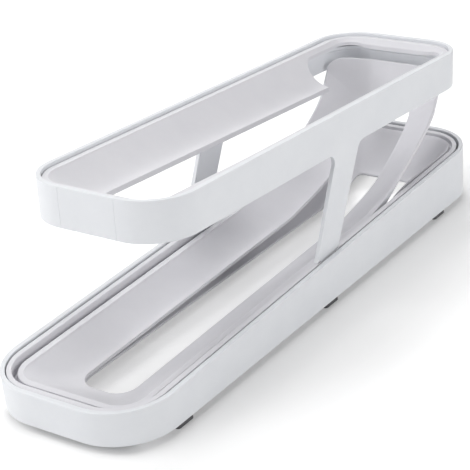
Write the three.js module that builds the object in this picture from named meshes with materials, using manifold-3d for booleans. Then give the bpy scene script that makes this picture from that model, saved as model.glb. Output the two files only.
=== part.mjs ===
// Two-tier roll-down dispenser: a base shell on six rubber feet, a base tray inside it, a curved slide with a
// central slot, and a lift-off upper tier made of a frame with two leaning legs and a slotted track.
// Millimetres. +Y is the rear, +Z is up, x = 0 is the mirror plane, and the origin is the middle of the
// footprint at table level.
import * as THREE from "three";
import { mergeVertices } from "three/addons/utils/BufferGeometryUtils.js";
import Module from "manifold-3d";

const wasm = await Module();
wasm.setup();

// Fits shared by every piece
const SEAT_GAP = 0.3; // between two pieces that rest on or in each other
const CUT_OVERRUN = 1; // how far a cutting shape runs past the wall it cuts
const SAME_POINT = 3e-4; // corners closer than this are one
const ROUND_LIMIT_SHARE = 0.44; // largest edge round, as a share of its rim's width
const CORNER_TIGHTENING = 1.45; // how much a corner's radius shrinks for each millimetre of inset

// Counts of facets
const CORNER_STEPS = 8; // along each plan corner
const EDGE_STEPS = 2; // along each rounded edge
const TROUGH_STEPS = 5; // across each side of a trough
const TRAY_CLIMB_STEPS = 9; // along the tray's sides, behind the slide's run
const RAMP_STEPS = 14; // along the slide's ramp
const RAMP_END_STEPS = 8; // across its top end
const RUN_STATION_SHARES = [0.35, 0.7, 1]; // of the slide's straight run, past its front corner

// Base shell: the outer skirt, its rim and the flange round its underside
const BASE_LENGTH = 368;
const BASE_WIDTH = 105;
const BASE_CORNER_RADIUS = 34.5;
const BASE_FRONT_HEIGHT = 23.7; // table to rim at the front end
const BASE_REAR_HEIGHT = 36.8; // table to rim at the rear end
const BASE_DRAFT = 0.7; // how far the skirt leans in from rim to foot
const BASE_RIM_WIDTH = 3;
const BASE_RIM_ROUND = 1.2;
const BASE_FOOT_ROUND = 0.8; // lower outer edge of the skirt
const BASE_WALL = 2.4; // skirt wall at its foot
const FLANGE_WIDTH = 13; // from the rim's outer line in to the underside opening
const FLANGE_THICKNESS = 2.2;

// Rubber feet, one row under each long side
const FOOT_HEIGHT = 4.5; // table to skirt
const FOOT_LENGTH = 13.5;
const FOOT_WIDTH = 7.6;
const FOOT_CORNER_RADIUS = 2.2;
const FOOT_EDGE_ROUND = 0.7;
const FOOT_INSET = 4.2; // from the rim's outer line to the foot's outer side
const FOOT_FRONT_SETBACK = 44; // from the front end of the base to the centre of its foot
const FOOT_REAR_SETBACK = 54; // the same at the rear end

// Base tray: the second rim, and the trough under the slide
const TRAY_GROOVE = 1.8; // open groove between the shell's rim and the tray's
const TRAY_RIM_WIDTH = 3.2;
const TRAY_RIM_ROUND = 1.2;
const TRAY_RIM_DROP = 0.7; // how far it lies under the shell's rim
const TRAY_WALL = 2;
const TRAY_SHEET = 1.8;
const TRAY_SEAT_WIDTH = 4; // flat ledge that the slide stands on
const TRAY_SLOT_WIDTH = 37;
const TRAY_SLOT_FRONT_RADIUS = 16;
const TRAY_SLOT_REAR_RADIUS = 3.5;
const TRAY_SLOT_FRONT_SETBACK = 37;
const TRAY_SLOT_REAR_SETBACK = 37.7;
const TRAY_SLOT_LIFT = 2; // slot edge above the skirt's foot, along the run
const TRAY_SLOT_REAR_LIFT = 8.3; // the same at the rear end
const TRAY_SLOT_CLIMB_LENGTH = 41; // over which the slot's edge curves up to that end
const TRAY_BOWL_DROP = 1.7; // shell's rim to the bowl behind the slide
const TRAY_BOWL_EDGE_DIP = 0.7; // how far the bowl dips over the width of the ledge
const TRAY_BOWL_GROOVE_WIDTH = 1.7; // groove between the tray's rim and the bowl
const TRAY_BOWL_GROOVE_DEPTH = 2.3;
const TRAY_BOWL_GROOVE_FLARE = 0.3; // how much wider the groove is at its top
const TRAY_RISE_LENGTH = 50; // over which the ledge climbs to the bowl
const TRAY_CURVE_POWER = 1.3;

// Slide: a level run that turns up into the ramp at the rear
const SLIDE_GROOVE = 2.8; // open groove between the tray's rim and the slide's
const SLIDE_RIM_DROP = 3.3; // under the shell's rim, at the front end
const SLIDE_RIM_WIDTH = 4.2; // along the run
const SLIDE_RAMP_RIM_WIDTH = 1.2; // along the ramp
const SLIDE_RAMP_EDGE = 1.3; // thickness of the ramp's outer edge
const SLIDE_EDGE_ROUND = 0.7;
const SLIDE_WALL_DEPTH = 5; // outer wall along the run
const SLIDE_SHEET = 2;
const SLIDE_TROUGH_DEPTH = 11.4; // rim to slot edge along the run
const SLIDE_RAMP_TROUGH_DEPTH = 16.8; // rim to slot edge along the ramp
const SLIDE_BLEND_LENGTH = 50; // past the foot of the ramp, over which one section becomes the other
const SLIDE_CURVE_POWER = 1.6;
const SLIDE_SLOT_WIDTH = 32;
const SLIDE_SLOT_RADIUS = 11;
const SLIDE_SLOT_FRONT_SETBACK = 26;
const SLIDE_SLOT_TOP_SETBACK = 15;
const SLIDE_LIP_HEIGHT = 2.3; // turned-down lip along the slot
const SLIDE_LIP_THICKNESS = 1.6;
const SLIDE_TOP_RADIUS = 9; // plan corners of the ramp's top end
const RUN_SLOPE = 1.85; // degrees, rising to the rear
const LEAD_RADIUS = 24; // where the run turns up
const LEAD_TURN = 11.9; // degrees
const RAMP_RADIUS = 250.6; // the long shallow climb
const RAMP_TURN = 17.2; // degrees
const BEND_RADIUS = 46.7; // the sweep up to the drop opening
const BEND_TURN = 45.1; // degrees
const SLIDE_TOP_SETBACK = 26.4; // slide's top edge to the outer rear face of the upper tier
const SLIDE_TOP_CLEARANCE = 2.4; // slide's top edge to the ledge of the upper tier

// Upper tier frame: the wall, its ledge and the legs
const TIER_LENGTH = 318.5;
const TIER_CORNER_RADIUS = 28;
const TIER_CENTRE_Y = 20.3;
const TIER_HEIGHT = 108.3; // table to the rim's middle
const TIER_TILT = 3.34; // degrees, falling to the rear
const TIER_WALL_HEIGHT = 22.7;
const TIER_DRAFT = 0.4; // how far the wall leans in from rim to lower edge
const TIER_RIM_WIDTH = 3.2;
const TIER_RIM_ROUND = 1.4;
const TIER_WALL = 2.6; // at its lower edge
const TIER_FOOT_ROUND = 0.7; // lower outer edge of the wall
const LEDGE_DROP = 8; // rim to ledge
const LEDGE_WIDTH = 2.8;
const LEDGE_THICKNESS = 2;
const LEG_THICKNESS = 2.5;
const LEG_LEAN = 26.7; // degrees, to the rear at the top
const LEG_FOOT_Y = 1.9; // middle of the foot
const LEG_FOOT_WIDTH = 22.8;
const LEG_TOP_WIDTH = 24.6;
const LEG_FRONT_FILLET = 5;
const LEG_REAR_FILLET = 8;
const LEG_FILLET_RUN = 14; // length of the leg's head along the wall, past each edge
const LEG_HEAD_HEIGHT = 3.2; // of that head, up the inside of the wall
const LEG_EDGE_ROUND = 0.4;
const TONGUE_LENGTH = 16; // plug of the leg's foot in the tray's rim
const TONGUE_DEPTH = 7;
const TONGUE_CORNER_RADIUS = 1.2;

// Upper track: the slotted insert on the ledge
const TRACK_GAP = 0.5; // to the wall round it
const TRACK_RIM_DROP = 1.9; // under the wall's rim
const TRACK_RIM_WIDTH = 2.5;
const TRACK_RIM_ROUND = 1.1;
const TRACK_SKIRT = 1.6;
const TRACK_SHEET = 2;
const TRACK_FRONT_TROUGH_DEPTH = 12.8; // rim to slot edge, front end of the slot
const TRACK_REAR_TROUGH_DEPTH = 17.3; // the same at the rear end
const TRACK_CURVE_POWER = 1.6;
const TRACK_SLOT_WIDTH = 32.4;
const TRACK_SLOT_RADIUS = 12;
const TRACK_SLOT_SETBACK = 24; // from the wall's outer face, both ends
const TRACK_LIP_HEIGHT = 3.3;
const TRACK_LIP_THICKNESS = 1.6;
const DROP_LENGTH = 56; // opening at the rear, along the track
const DROP_MARGIN = 10; // from the wall's outer face to that opening
const DROP_CORNER_RADIUS = 14;

// Colours as seen on the moulded plastic and the rubber
const SHELL_COLOUR = "#e9eaee";
const TRAY_COLOUR = "#eceaf0";
const RUBBER_COLOUR = "#77787a";
const PLASTIC_ROUGHNESS = 0.42;
const RUBBER_ROUGHNESS = 0.85;

const lerp = THREE.MathUtils.lerp;
const radians = THREE.MathUtils.degToRad;

// Plan outlines

const basePlan = { halfWidth: BASE_WIDTH / 2, front: -BASE_LENGTH / 2, rear: BASE_LENGTH / 2 };

// Height of the shell's rim, which climbs evenly to the rear.
function rimHeight(y) {
  return lerp(BASE_FRONT_HEIGHT, BASE_REAR_HEIGHT, (y - basePlan.front) / BASE_LENGTH);
}

// Insets of a line inside a plan's outline, with corners a little tighter than parallel ones.
function nested(inset, radius) {
  const tightest = radius / CORNER_STEPS;
  const corner = Math.max(radius - inset * CORNER_TIGHTENING, tightest);
  return { side: inset, front: inset, rear: inset, frontRadius: corner, rearRadius: corner };
}

// The inset line a share of the way from one to another.
function between(a, b, share) {
  return Object.fromEntries(Object.keys(a).map((key) => [key, lerp(a[key], b[key], share)]));
}

// One inset line round a plan, anticlockwise from above. Every line of a plan has the same stations: the four
// corners, the plan's own stations along both sides and equal steps along its rear end.
function planLine(plan, inset) {
  const half = plan.halfWidth - inset.side;
  const front = plan.front + inset.front;
  const rear = plan.rear - inset.rear;
  const stations = plan.stations ?? [];
  const rearSteps = plan.rearSteps ?? 1;
  const corner = (x, y, radius, start) =>
    Array.from({ length: CORNER_STEPS + 1 }, (_, i) => {
      const angle = start + (Math.PI / 2) * (i / CORNER_STEPS);
      return new THREE.Vector2(x + radius * Math.cos(angle), y + radius * Math.sin(angle));
    });
  const frontX = half - inset.frontRadius;
  const rearX = half - inset.rearRadius;
  const rearEdge = Array.from(
    { length: rearSteps - 1 },
    (_, i) => new THREE.Vector2(lerp(rearX, -rearX, (i + 1) / rearSteps), rear),
  );
  return [
    ...corner(frontX, front + inset.frontRadius, inset.frontRadius, -Math.PI / 2),
    ...stations.map((y) => new THREE.Vector2(half, y)),
    ...corner(rearX, rear - inset.rearRadius, inset.rearRadius, 0),
    ...rearEdge,
    ...corner(-rearX, rear - inset.rearRadius, inset.rearRadius, Math.PI / 2),
    ...stations.map((y) => new THREE.Vector2(-half, y)).reverse(),
    ...corner(-frontX, front + inset.frontRadius, inset.frontRadius, Math.PI),
  ];
}

// Solids from rails

// A ring-shaped solid: rails are closed lines of equal length, listed once round the ring's section, up the
// outside, over the top and back underneath.
function ringGeometry(rails) {
  const count = rails[0].length;
  const positions = rails.flatMap((rail) => rail.flatMap((p) => [p.x, p.y, p.z]));
  const index = [];
  rails.forEach((_, i) => {
    const next = (i + 1) % rails.length;
    for (let j = 0; j < count; j++) {
      const k = (j + 1) % count;
      const [a, b, c, d] = [i * count + j, i * count + k, next * count + k, next * count + j];
      index.push(a, b, c, a, c, d);
    }
  });
  const geometry = new THREE.BufferGeometry();
  geometry.setAttribute("position", new THREE.Float32BufferAttribute(positions, 3));
  geometry.setIndex(index);
  return geometry;
}

// Rails of a piece whose height is a function of its plan.
function levelRails(plan, section) {
  return section.map(({ inset, level }) =>
    planLine(plan, inset).map((p) => new THREE.Vector3(p.x, p.y, level(p.x, p.y))),
  );
}

// The rounded top of a wall, from its outer face to its inner one, as insets and drops from its outer line.
function roundedTop(width, round) {
  const radius = Math.min(round, width * ROUND_LIMIT_SHARE);
  const outer = Array.from({ length: EDGE_STEPS + 1 }, (_, i) => {
    const angle = (Math.PI / 2) * (i / EDGE_STEPS);
    return { inset: radius - radius * Math.cos(angle), drop: radius - radius * Math.sin(angle) };
  });
  const inner = outer.map(({ inset, drop }) => ({ inset: width - inset, drop })).reverse();
  return [...outer, ...inner];
}

// Shares across a trough, each with how far down it has gone: steep at its rim and flat at its slot.
function troughShares(power) {
  return Array.from({ length: TROUGH_STEPS }, (_, i) => {
    const across = (i + 1) / TROUGH_STEPS;
    return { across, down: 1 - (1 - across) ** power };
  });
}

function toSolid(geometry) {
  const bare = geometry.clone();
  bare.deleteAttribute("normal");
  bare.deleteAttribute("uv");
  const merged = mergeVertices(bare, SAME_POINT);
  const mesh = new wasm.Mesh({
    numProp: 3,
    vertProperties: new Float32Array(merged.attributes.position.array),
    triVerts: new Uint32Array(merged.index.array),
  });
  return new wasm.Manifold(mesh);
}

function toGeometry(solid) {
  const mesh = solid.getMesh();
  const geometry = new THREE.BufferGeometry();
  geometry.setAttribute("position", new THREE.BufferAttribute(mesh.vertProperties, mesh.numProp));
  geometry.setIndex(new THREE.BufferAttribute(mesh.triVerts, 1));
  return geometry;
}

// A shape with rounded corners, from corner points that carry their own radius.
function roundedShape(corners) {
  const shape = new THREE.Shape();
  corners.forEach(({ at, radius = 0 }, i) => {
    const before = corners.at(i - 1).at;
    const after = corners[(i + 1) % corners.length].at;
    const inward = before.clone().sub(at).normalize();
    const outward = after.clone().sub(at).normalize();
    const halfAngle = inward.angleTo(outward) / 2;
    const reach = radius / Math.tan(halfAngle);
    const start = at.clone().addScaledVector(inward, reach);
    if (i === 0) shape.moveTo(start.x, start.y);
    else shape.lineTo(start.x, start.y);
    if (!radius) return;
    const middle = inward.clone().add(outward).normalize();
    const centre = at.clone().addScaledVector(middle, radius / Math.sin(halfAngle));
    const end = at.clone().addScaledVector(outward, reach);
    const turn = inward.cross(outward);
    const startAngle = Math.atan2(start.y - centre.y, start.x - centre.x);
    const endAngle = Math.atan2(end.y - centre.y, end.x - centre.x);
    shape.absarc(centre.x, centre.y, radius, startAngle, endAngle, turn > 0);
  });
  shape.closePath();
  return shape;
}

// Base shell

function baseShell() {
  const skirtFoot = () => FOOT_HEIGHT;
  const flangeTop = () => FOOT_HEIGHT + FLANGE_THICKNESS;
  const at = (inset, level) => ({ inset: nested(inset, BASE_CORNER_RADIUS), level });
  const rim = roundedTop(BASE_RIM_WIDTH, BASE_RIM_ROUND).map(({ inset, drop }) =>
    at(inset, (x, y) => rimHeight(y) - drop),
  );
  return ringGeometry(
    levelRails(basePlan, [
      at(BASE_DRAFT + BASE_FOOT_ROUND, skirtFoot),
      at(BASE_DRAFT, () => FOOT_HEIGHT + BASE_FOOT_ROUND),
      ...rim,
      at(BASE_DRAFT + BASE_WALL, flangeTop),
      at(FLANGE_WIDTH, flangeTop),
      at(FLANGE_WIDTH, skirtFoot),
    ]),
  );
}

// Path of the slide

const trayInset = BASE_RIM_WIDTH + TRAY_GROOVE;
const slideInset = trayInset + TRAY_RIM_WIDTH + SLIDE_GROOVE;
const tierHalfWidth = BASE_WIDTH / 2 - trayInset;
const tierRearY = TIER_CENTRE_Y + (TIER_LENGTH / 2) * Math.cos(radians(TIER_TILT));

// Height of the upper tier's rim over a place on the mirror plane.
function tierRimHeight(y) {
  return TIER_HEIGHT - (y - TIER_CENTRE_Y) * Math.tan(radians(TIER_TILT));
}

const slideStart = { y: basePlan.front + slideInset };
slideStart.z = rimHeight(slideStart.y) - SLIDE_RIM_DROP;
const slideEnd = { y: tierRearY - SLIDE_TOP_SETBACK };
slideEnd.z = tierRimHeight(slideEnd.y) - LEDGE_DROP - LEDGE_THICKNESS - SLIDE_TOP_CLEARANCE;

// Where an arc ends, relative to its start, and the slope there.
function arcStep(slope, radius, turn) {
  return {
    y: radius * (Math.sin(slope + turn) - Math.sin(slope)),
    z: radius * (Math.cos(slope) - Math.cos(slope + turn)),
  };
}

// The slide's rim line as a run, three arcs and a straight tail. The run and the tail take the lengths that
// bring its top edge to slideEnd.
function slidePath() {
  const arcs = [
    { radius: LEAD_RADIUS, turn: radians(LEAD_TURN) },
    { radius: RAMP_RADIUS, turn: radians(RAMP_TURN) },
    { radius: BEND_RADIUS, turn: radians(BEND_TURN) },
  ];
  const runSlope = radians(RUN_SLOPE);
  let slope = runSlope;
  const swept = { y: 0, z: 0 };
  for (const { radius, turn } of arcs) {
    const step = arcStep(slope, radius, turn);
    swept.y += step.y;
    swept.z += step.z;
    slope += turn;
  }
  const reach = slideEnd.y - slideStart.y - swept.y;
  const climb = slideEnd.z - slideStart.z - swept.z;
  const spread = Math.sin(slope - runSlope);
  const run = (reach * Math.sin(slope) - climb * Math.cos(slope)) / spread;
  const tail = (climb * Math.cos(runSlope) - reach * Math.sin(runSlope)) / spread;
  const bends = arcs.map((arc) => ({ ...arc, length: arc.radius * arc.turn }));
  return [{ length: run }, ...bends, { length: tail }];
}

const slideSegments = slidePath();
const slideLength = slideSegments.reduce((sum, { length }) => sum + length, 0);
const runLength = slideSegments[0].length;
const rampStart = runLength + slideSegments[1].length;
const runEndY = slideStart.y + runLength * Math.cos(radians(RUN_SLOPE));

// Place and slope of the rim line a distance along it.
function slideFrame(along) {
  let { y, z } = slideStart;
  let slope = radians(RUN_SLOPE);
  let left = along;
  for (const [i, { length, radius }] of slideSegments.entries()) {
    const last = i === slideSegments.length - 1;
    const part = last ? left : Math.min(left, length);
    if (radius) {
      const step = arcStep(slope, radius, part / radius);
      y += step.y;
      z += step.z;
      slope += part / radius;
    } else {
      y += part * Math.cos(slope);
      z += part * Math.sin(slope);
    }
    left -= part;
    if (left <= 0) break;
  }
  return { y, z, slope };
}

// Base tray

// Height of the ledge that the slide stands on. Behind the slide it climbs to a drop under the shell's rim.
function trayLedgeHeight(y, rearDrop) {
  const runHeight = slideStart.z + (y - slideStart.y) * Math.tan(radians(RUN_SLOPE));
  const underSlide = runHeight - SLIDE_WALL_DEPTH - SEAT_GAP;
  const behindSlide = rimHeight(y) - rearDrop;
  return lerp(underSlide, behindSlide, THREE.MathUtils.smoothstep(y, runEndY, runEndY + TRAY_RISE_LENGTH));
}

// Height of the slot's edge, level along the run and curving up to its rear end.
function traySlotHeight(y) {
  const climbEnd = basePlan.rear - TRAY_SLOT_REAR_SETBACK;
  const climb = THREE.MathUtils.inverseLerp(climbEnd - TRAY_SLOT_CLIMB_LENGTH, climbEnd, y);
  const share = THREE.MathUtils.clamp(climb, 0, 1);
  return FOOT_HEIGHT + lerp(TRAY_SLOT_LIFT, TRAY_SLOT_REAR_LIFT, share * share);
}

// Where the two leg tongues stand in the tray's rim.
function legTongue() {
  const half = TONGUE_LENGTH / 2;
  return { front: LEG_FOOT_Y - half, rear: LEG_FOOT_Y + half };
}

function baseTray() {
  const slotStraightEnd = basePlan.rear - TRAY_SLOT_REAR_SETBACK - TRAY_SLOT_REAR_RADIUS;
  const climb = Array.from({ length: TRAY_CLIMB_STEPS }, (_, i) =>
    lerp(runEndY, slotStraightEnd, i / TRAY_CLIMB_STEPS),
  );
  const plan = { ...basePlan, stations: climb };
  const foot = () => FOOT_HEIGHT + FLANGE_THICKNESS + SEAT_GAP;
  const at = (inset, level) => ({ inset: nested(inset, BASE_CORNER_RADIUS), level });
  const ledge = (rearDrop) => (x, y) => trayLedgeHeight(y, rearDrop);
  const under = (level) => (x, y) => level(x, y) - TRAY_SHEET;
  const rim = roundedTop(TRAY_RIM_WIDTH, TRAY_RIM_ROUND).map(({ inset, drop }) =>
    at(trayInset + inset, (x, y) => rimHeight(y) - TRAY_RIM_DROP - drop),
  );
  const innerWall = trayInset + TRAY_RIM_WIDTH;
  const grooveFloor = ledge(TRAY_BOWL_DROP + TRAY_BOWL_GROOVE_DEPTH);
  const grooveEnd = innerWall + TRAY_BOWL_GROOVE_WIDTH;
  const seatEnd = nested(innerWall + TRAY_SEAT_WIDTH, BASE_CORNER_RADIUS);
  const seatLevel = ledge(TRAY_BOWL_DROP + TRAY_BOWL_EDGE_DIP);
  const slot = {
    side: (BASE_WIDTH - TRAY_SLOT_WIDTH) / 2,
    front: TRAY_SLOT_FRONT_SETBACK,
    rear: TRAY_SLOT_REAR_SETBACK,
    frontRadius: TRAY_SLOT_FRONT_RADIUS,
    rearRadius: TRAY_SLOT_REAR_RADIUS,
  };
  const trough = troughShares(TRAY_CURVE_POWER).map(({ across, down }) => ({
    inset: between(seatEnd, slot, across),
    level: (x, y) => lerp(seatLevel(x, y), traySlotHeight(y), down),
  }));
  const face = [{ inset: seatEnd, level: seatLevel }, ...trough];
  const underside = face.map(({ inset, level }) => ({ inset, level: under(level) })).reverse();
  const solid = toSolid(
    ringGeometry(
      levelRails(plan, [
        at(trayInset, foot),
        ...rim,
        at(innerWall, grooveFloor),
        at(grooveEnd, grooveFloor),
        at(grooveEnd + TRAY_BOWL_GROOVE_FLARE, ledge(TRAY_BOWL_DROP)),
        ...face,
        ...underside,
        at(grooveEnd, under(grooveFloor)),
        at(trayInset + TRAY_WALL, under(grooveFloor)),
        at(trayInset + TRAY_WALL, foot),
      ]),
    ),
  );
  return toGeometry(trayNotches().reduce((left, notch) => left.subtract(notch), solid));
}

// The notch in each side of the tray's rim that takes a leg's tongue.
function trayNotches() {
  const { front, rear } = legTongue();
  const bottom = rimHeight(front) - TRAY_RIM_DROP - TONGUE_DEPTH - SEAT_GAP;
  const top = rimHeight(rear) + CUT_OVERRUN;
  const width = TRAY_RIM_WIDTH + 2 * CUT_OVERRUN;
  return [-1, 1].map((side) => {
    const notch = new THREE.BoxGeometry(width, rear - front + 2 * SEAT_GAP, top - bottom);
    const middle = tierHalfWidth - TRAY_RIM_WIDTH / 2;
    return toSolid(notch.translate(side * middle, (front + rear) / 2, (top + bottom) / 2));
  });
}

// Slide

// A point of the slide, from its place across, its distance along the rim line and its depth under it.
function onSlide(across, along, depth) {
  const { y, z, slope } = slideFrame(along);
  return new THREE.Vector3(across, y + depth * Math.sin(slope), z - depth * Math.cos(slope));
}

// Depth of the ramp's upper face under its rim: the same section from the foot of the ramp to its top edge.
function rampDepth(across, halfWidth) {
  const rimEdge = halfWidth - SLIDE_RAMP_RIM_WIDTH;
  const slotEdge = SLIDE_SLOT_WIDTH / 2;
  const share = THREE.MathUtils.clamp((rimEdge - Math.abs(across)) / (rimEdge - slotEdge), 0, 1);
  return SLIDE_RAMP_TROUGH_DEPTH * (1 - (1 - share) ** SLIDE_CURVE_POWER);
}

function slide() {
  const halfWidth = BASE_WIDTH / 2 - slideInset;
  const cornerRadius = BASE_CORNER_RADIUS - slideInset * CORNER_TIGHTENING;
  const cornerEnd = cornerRadius + SLIDE_SLOT_RADIUS;
  const runStations = RUN_STATION_SHARES.map((share) => lerp(cornerEnd, runLength, share));
  const rampEnd = slideLength - SLIDE_SLOT_TOP_SETBACK - SLIDE_SLOT_RADIUS;
  const rampStations = Array.from({ length: RAMP_STEPS }, (_, i) =>
    lerp(runLength, rampEnd, (i + 1) / RAMP_STEPS),
  );
  const plan = {
    halfWidth,
    front: 0,
    rear: slideLength,
    stations: [...runStations, ...rampStations],
    rearSteps: RAMP_END_STEPS,
  };
  const onRamp = (along) => THREE.MathUtils.smoothstep(along, runLength, rampStart + SLIDE_BLEND_LENGTH);
  const outline = (inset) => ({ ...nested(inset, cornerRadius), rearRadius: SLIDE_TOP_RADIUS });
  const rimEdge = outline(SLIDE_RIM_WIDTH);
  const rampRimEdge = outline(SLIDE_RAMP_RIM_WIDTH);
  const slot = {
    side: halfWidth - SLIDE_SLOT_WIDTH / 2,
    front: SLIDE_SLOT_FRONT_SETBACK,
    rear: SLIDE_SLOT_TOP_SETBACK,
    frontRadius: SLIDE_SLOT_RADIUS,
    rearRadius: SLIDE_SLOT_RADIUS,
  };
  const lipOuter = { ...slot };
  for (const edge of ["side", "front", "rear"]) lipOuter[edge] -= SLIDE_LIP_THICKNESS;

  // One rail of the slide: its inset and depth on the run, and its inset and depth under the ramp's face.
  const rail = (runInset, runDepth, rampInset, underFace) => {
    const onRun = planLine(plan, runInset);
    const up = planLine(plan, rampInset);
    return onRun.map((p, i) => {
      const share = onRamp(p.y);
      const across = lerp(p.x, up[i].x, share);
      const along = lerp(p.y, up[i].y, share);
      return onSlide(across, along, lerp(runDepth, rampDepth(across, halfWidth) + underFace, share));
    });
  };
  const runRim = roundedTop(SLIDE_RIM_WIDTH, SLIDE_EDGE_ROUND);
  const rampRim = roundedTop(SLIDE_RAMP_RIM_WIDTH, SLIDE_EDGE_ROUND);
  const rim = runRim.map(({ inset, drop }, i) => {
    const outerHalf = i <= EDGE_STEPS;
    return rail(outline(inset), drop, outline(rampRim[i].inset), outerHalf ? rampRim[i].drop : 0);
  });
  const shares = troughShares(SLIDE_CURVE_POWER);
  const trough = shares.map(({ across, down }) => {
    const depth = lerp(SLIDE_EDGE_ROUND, SLIDE_TROUGH_DEPTH, down);
    return rail(between(rimEdge, slot, across), depth, between(rampRimEdge, slot, across), 0);
  });
  const under = shares.map(({ across, down }) => {
    const depth = lerp(SLIDE_EDGE_ROUND, SLIDE_TROUGH_DEPTH, down) + SLIDE_SHEET;
    const onRun = between(rimEdge, lipOuter, across);
    return rail(onRun, depth, between(rampRimEdge, lipOuter, across), SLIDE_SHEET);
  });
  const lipDepth = SLIDE_TROUGH_DEPTH + SLIDE_LIP_HEIGHT;
  const wallInner = outline(SLIDE_LIP_THICKNESS);
  const shoulder = outline(SLIDE_RIM_WIDTH - SLIDE_EDGE_ROUND);
  return ringGeometry([
    rail(outline(0), SLIDE_WALL_DEPTH, outline(0), SLIDE_RAMP_EDGE),
    ...rim,
    ...trough,
    rail(slot, lipDepth, slot, SLIDE_LIP_HEIGHT),
    rail(lipOuter, lipDepth, lipOuter, SLIDE_LIP_HEIGHT),
    ...under.reverse(),
    rail(shoulder, SLIDE_SHEET, rampRimEdge, SLIDE_SHEET + SEAT_GAP),
    rail(wallInner, SLIDE_WALL_DEPTH, outline(SLIDE_EDGE_ROUND), SLIDE_RAMP_EDGE),
  ]);
}

// Upper tier, in its own frame: y along the tier from its middle, z up from the plane of its rim

const tierPlan = { halfWidth: tierHalfWidth, front: -TIER_LENGTH / 2, rear: TIER_LENGTH / 2 };

function onTier(inset, drop) {
  return { inset: nested(inset, TIER_CORNER_RADIUS), level: () => -drop };
}

function tierWall() {
  const rim = roundedTop(TIER_RIM_WIDTH, TIER_RIM_ROUND).map(({ inset, drop }) => onTier(inset, drop));
  const ledgeEdge = TIER_RIM_WIDTH + LEDGE_WIDTH;
  const ledgeUnder = LEDGE_DROP + LEDGE_THICKNESS;
  return ringGeometry(
    levelRails(tierPlan, [
      onTier(TIER_DRAFT + TIER_FOOT_ROUND, TIER_WALL_HEIGHT),
      onTier(TIER_DRAFT, TIER_WALL_HEIGHT - TIER_FOOT_ROUND),
      ...rim,
      onTier(TIER_RIM_WIDTH, LEDGE_DROP),
      onTier(ledgeEdge, LEDGE_DROP),
      onTier(ledgeEdge, ledgeUnder),
      onTier(TIER_RIM_WIDTH, ledgeUnder + LEDGE_WIDTH / 2),
      onTier(TIER_DRAFT + TIER_WALL, TIER_WALL_HEIGHT),
    ]),
  );
}

// A place of the whole part's y and z, in the tier's frame.
function toTier(y, z) {
  return new THREE.Vector2(y - TIER_CENTRE_Y, z - TIER_HEIGHT).rotateAround(
    new THREE.Vector2(),
    radians(TIER_TILT),
  );
}

// The side view of a leg: its head along the wall, its leaning edges, and its foot with the tongue under it.
function legShape() {
  const wallFoot = -TIER_WALL_HEIGHT + TIER_FOOT_ROUND / 2;
  const headTop = wallFoot + LEG_HEAD_HEIGHT;
  const rimTop = (y) => rimHeight(y) - TRAY_RIM_DROP + SEAT_GAP;
  const lean = Math.tan(radians(LEG_LEAN));
  const shoulders = [-1, 1].map((end) => {
    const y = LEG_FOOT_Y + (end * LEG_FOOT_WIDTH) / 2;
    return toTier(y, rimTop(y));
  });
  const headZ = tierRimHeight(LEG_FOOT_Y) - TIER_WALL_HEIGHT;
  const headY = LEG_FOOT_Y + (headZ - rimTop(LEG_FOOT_Y)) * lean;
  const edges = [-1, 1].map((end) => toTier(headY + (end * LEG_TOP_WIDTH) / 2, headZ).setY(wallFoot));
  const { front, rear } = legTongue();
  const tongueFoot = rimTop(front) - SEAT_GAP - TONGUE_DEPTH;
  const headFront = edges[0].x - LEG_FILLET_RUN;
  const headRear = edges[1].x + LEG_FILLET_RUN;
  return roundedShape([
    { at: new THREE.Vector2(headRear, wallFoot) },
    { at: new THREE.Vector2(headRear, headTop) },
    { at: new THREE.Vector2(headFront, headTop) },
    { at: new THREE.Vector2(headFront, wallFoot) },
    { at: edges[0], radius: LEG_FRONT_FILLET },
    { at: shoulders[0] },
    { at: toTier(front, rimTop(front)) },
    { at: toTier(front, tongueFoot), radius: TONGUE_CORNER_RADIUS },
    { at: toTier(rear, tongueFoot), radius: TONGUE_CORNER_RADIUS },
    { at: toTier(rear, rimTop(rear)) },
    { at: shoulders[1] },
    { at: edges[1], radius: LEG_REAR_FILLET },
  ]);
}

// One leg, extruded across the part and set flush with the lower edge of the wall on that side.
function leg(side) {
  const geometry = new THREE.ExtrudeGeometry(legShape(), {
    depth: LEG_THICKNESS - 2 * LEG_EDGE_ROUND,
    bevelSize: LEG_EDGE_ROUND,
    bevelOffset: -LEG_EDGE_ROUND,
    bevelThickness: LEG_EDGE_ROUND,
    bevelSegments: 1,
    curveSegments: CORNER_STEPS,
  });
  const across = new THREE.Vector3(1, 0, 0);
  const along = new THREE.Vector3(0, 1, 0);
  const up = new THREE.Vector3(0, 0, 1);
  geometry.applyMatrix4(new THREE.Matrix4().makeBasis(along, up, across));
  const middle = side * (tierHalfWidth - TIER_DRAFT - LEG_THICKNESS / 2);
  return geometry.translate(middle - LEG_THICKNESS / 2 + LEG_EDGE_ROUND, 0, 0);
}

function upperFrame() {
  const wall = toSolid(tierWall());
  return toGeometry([-1, 1].reduce((joined, side) => joined.add(toSolid(leg(side))), wall));
}

// Depth of the track's slot edge under its rim, even along the slot's length and constant past its ends.
function trackTroughDepth(along) {
  const end = TIER_LENGTH / 2 - TRACK_SLOT_SETBACK;
  const share = THREE.MathUtils.clamp(THREE.MathUtils.inverseLerp(-end, end, along), 0, 1);
  return lerp(TRACK_FRONT_TROUGH_DEPTH, TRACK_REAR_TROUGH_DEPTH, share);
}

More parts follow.
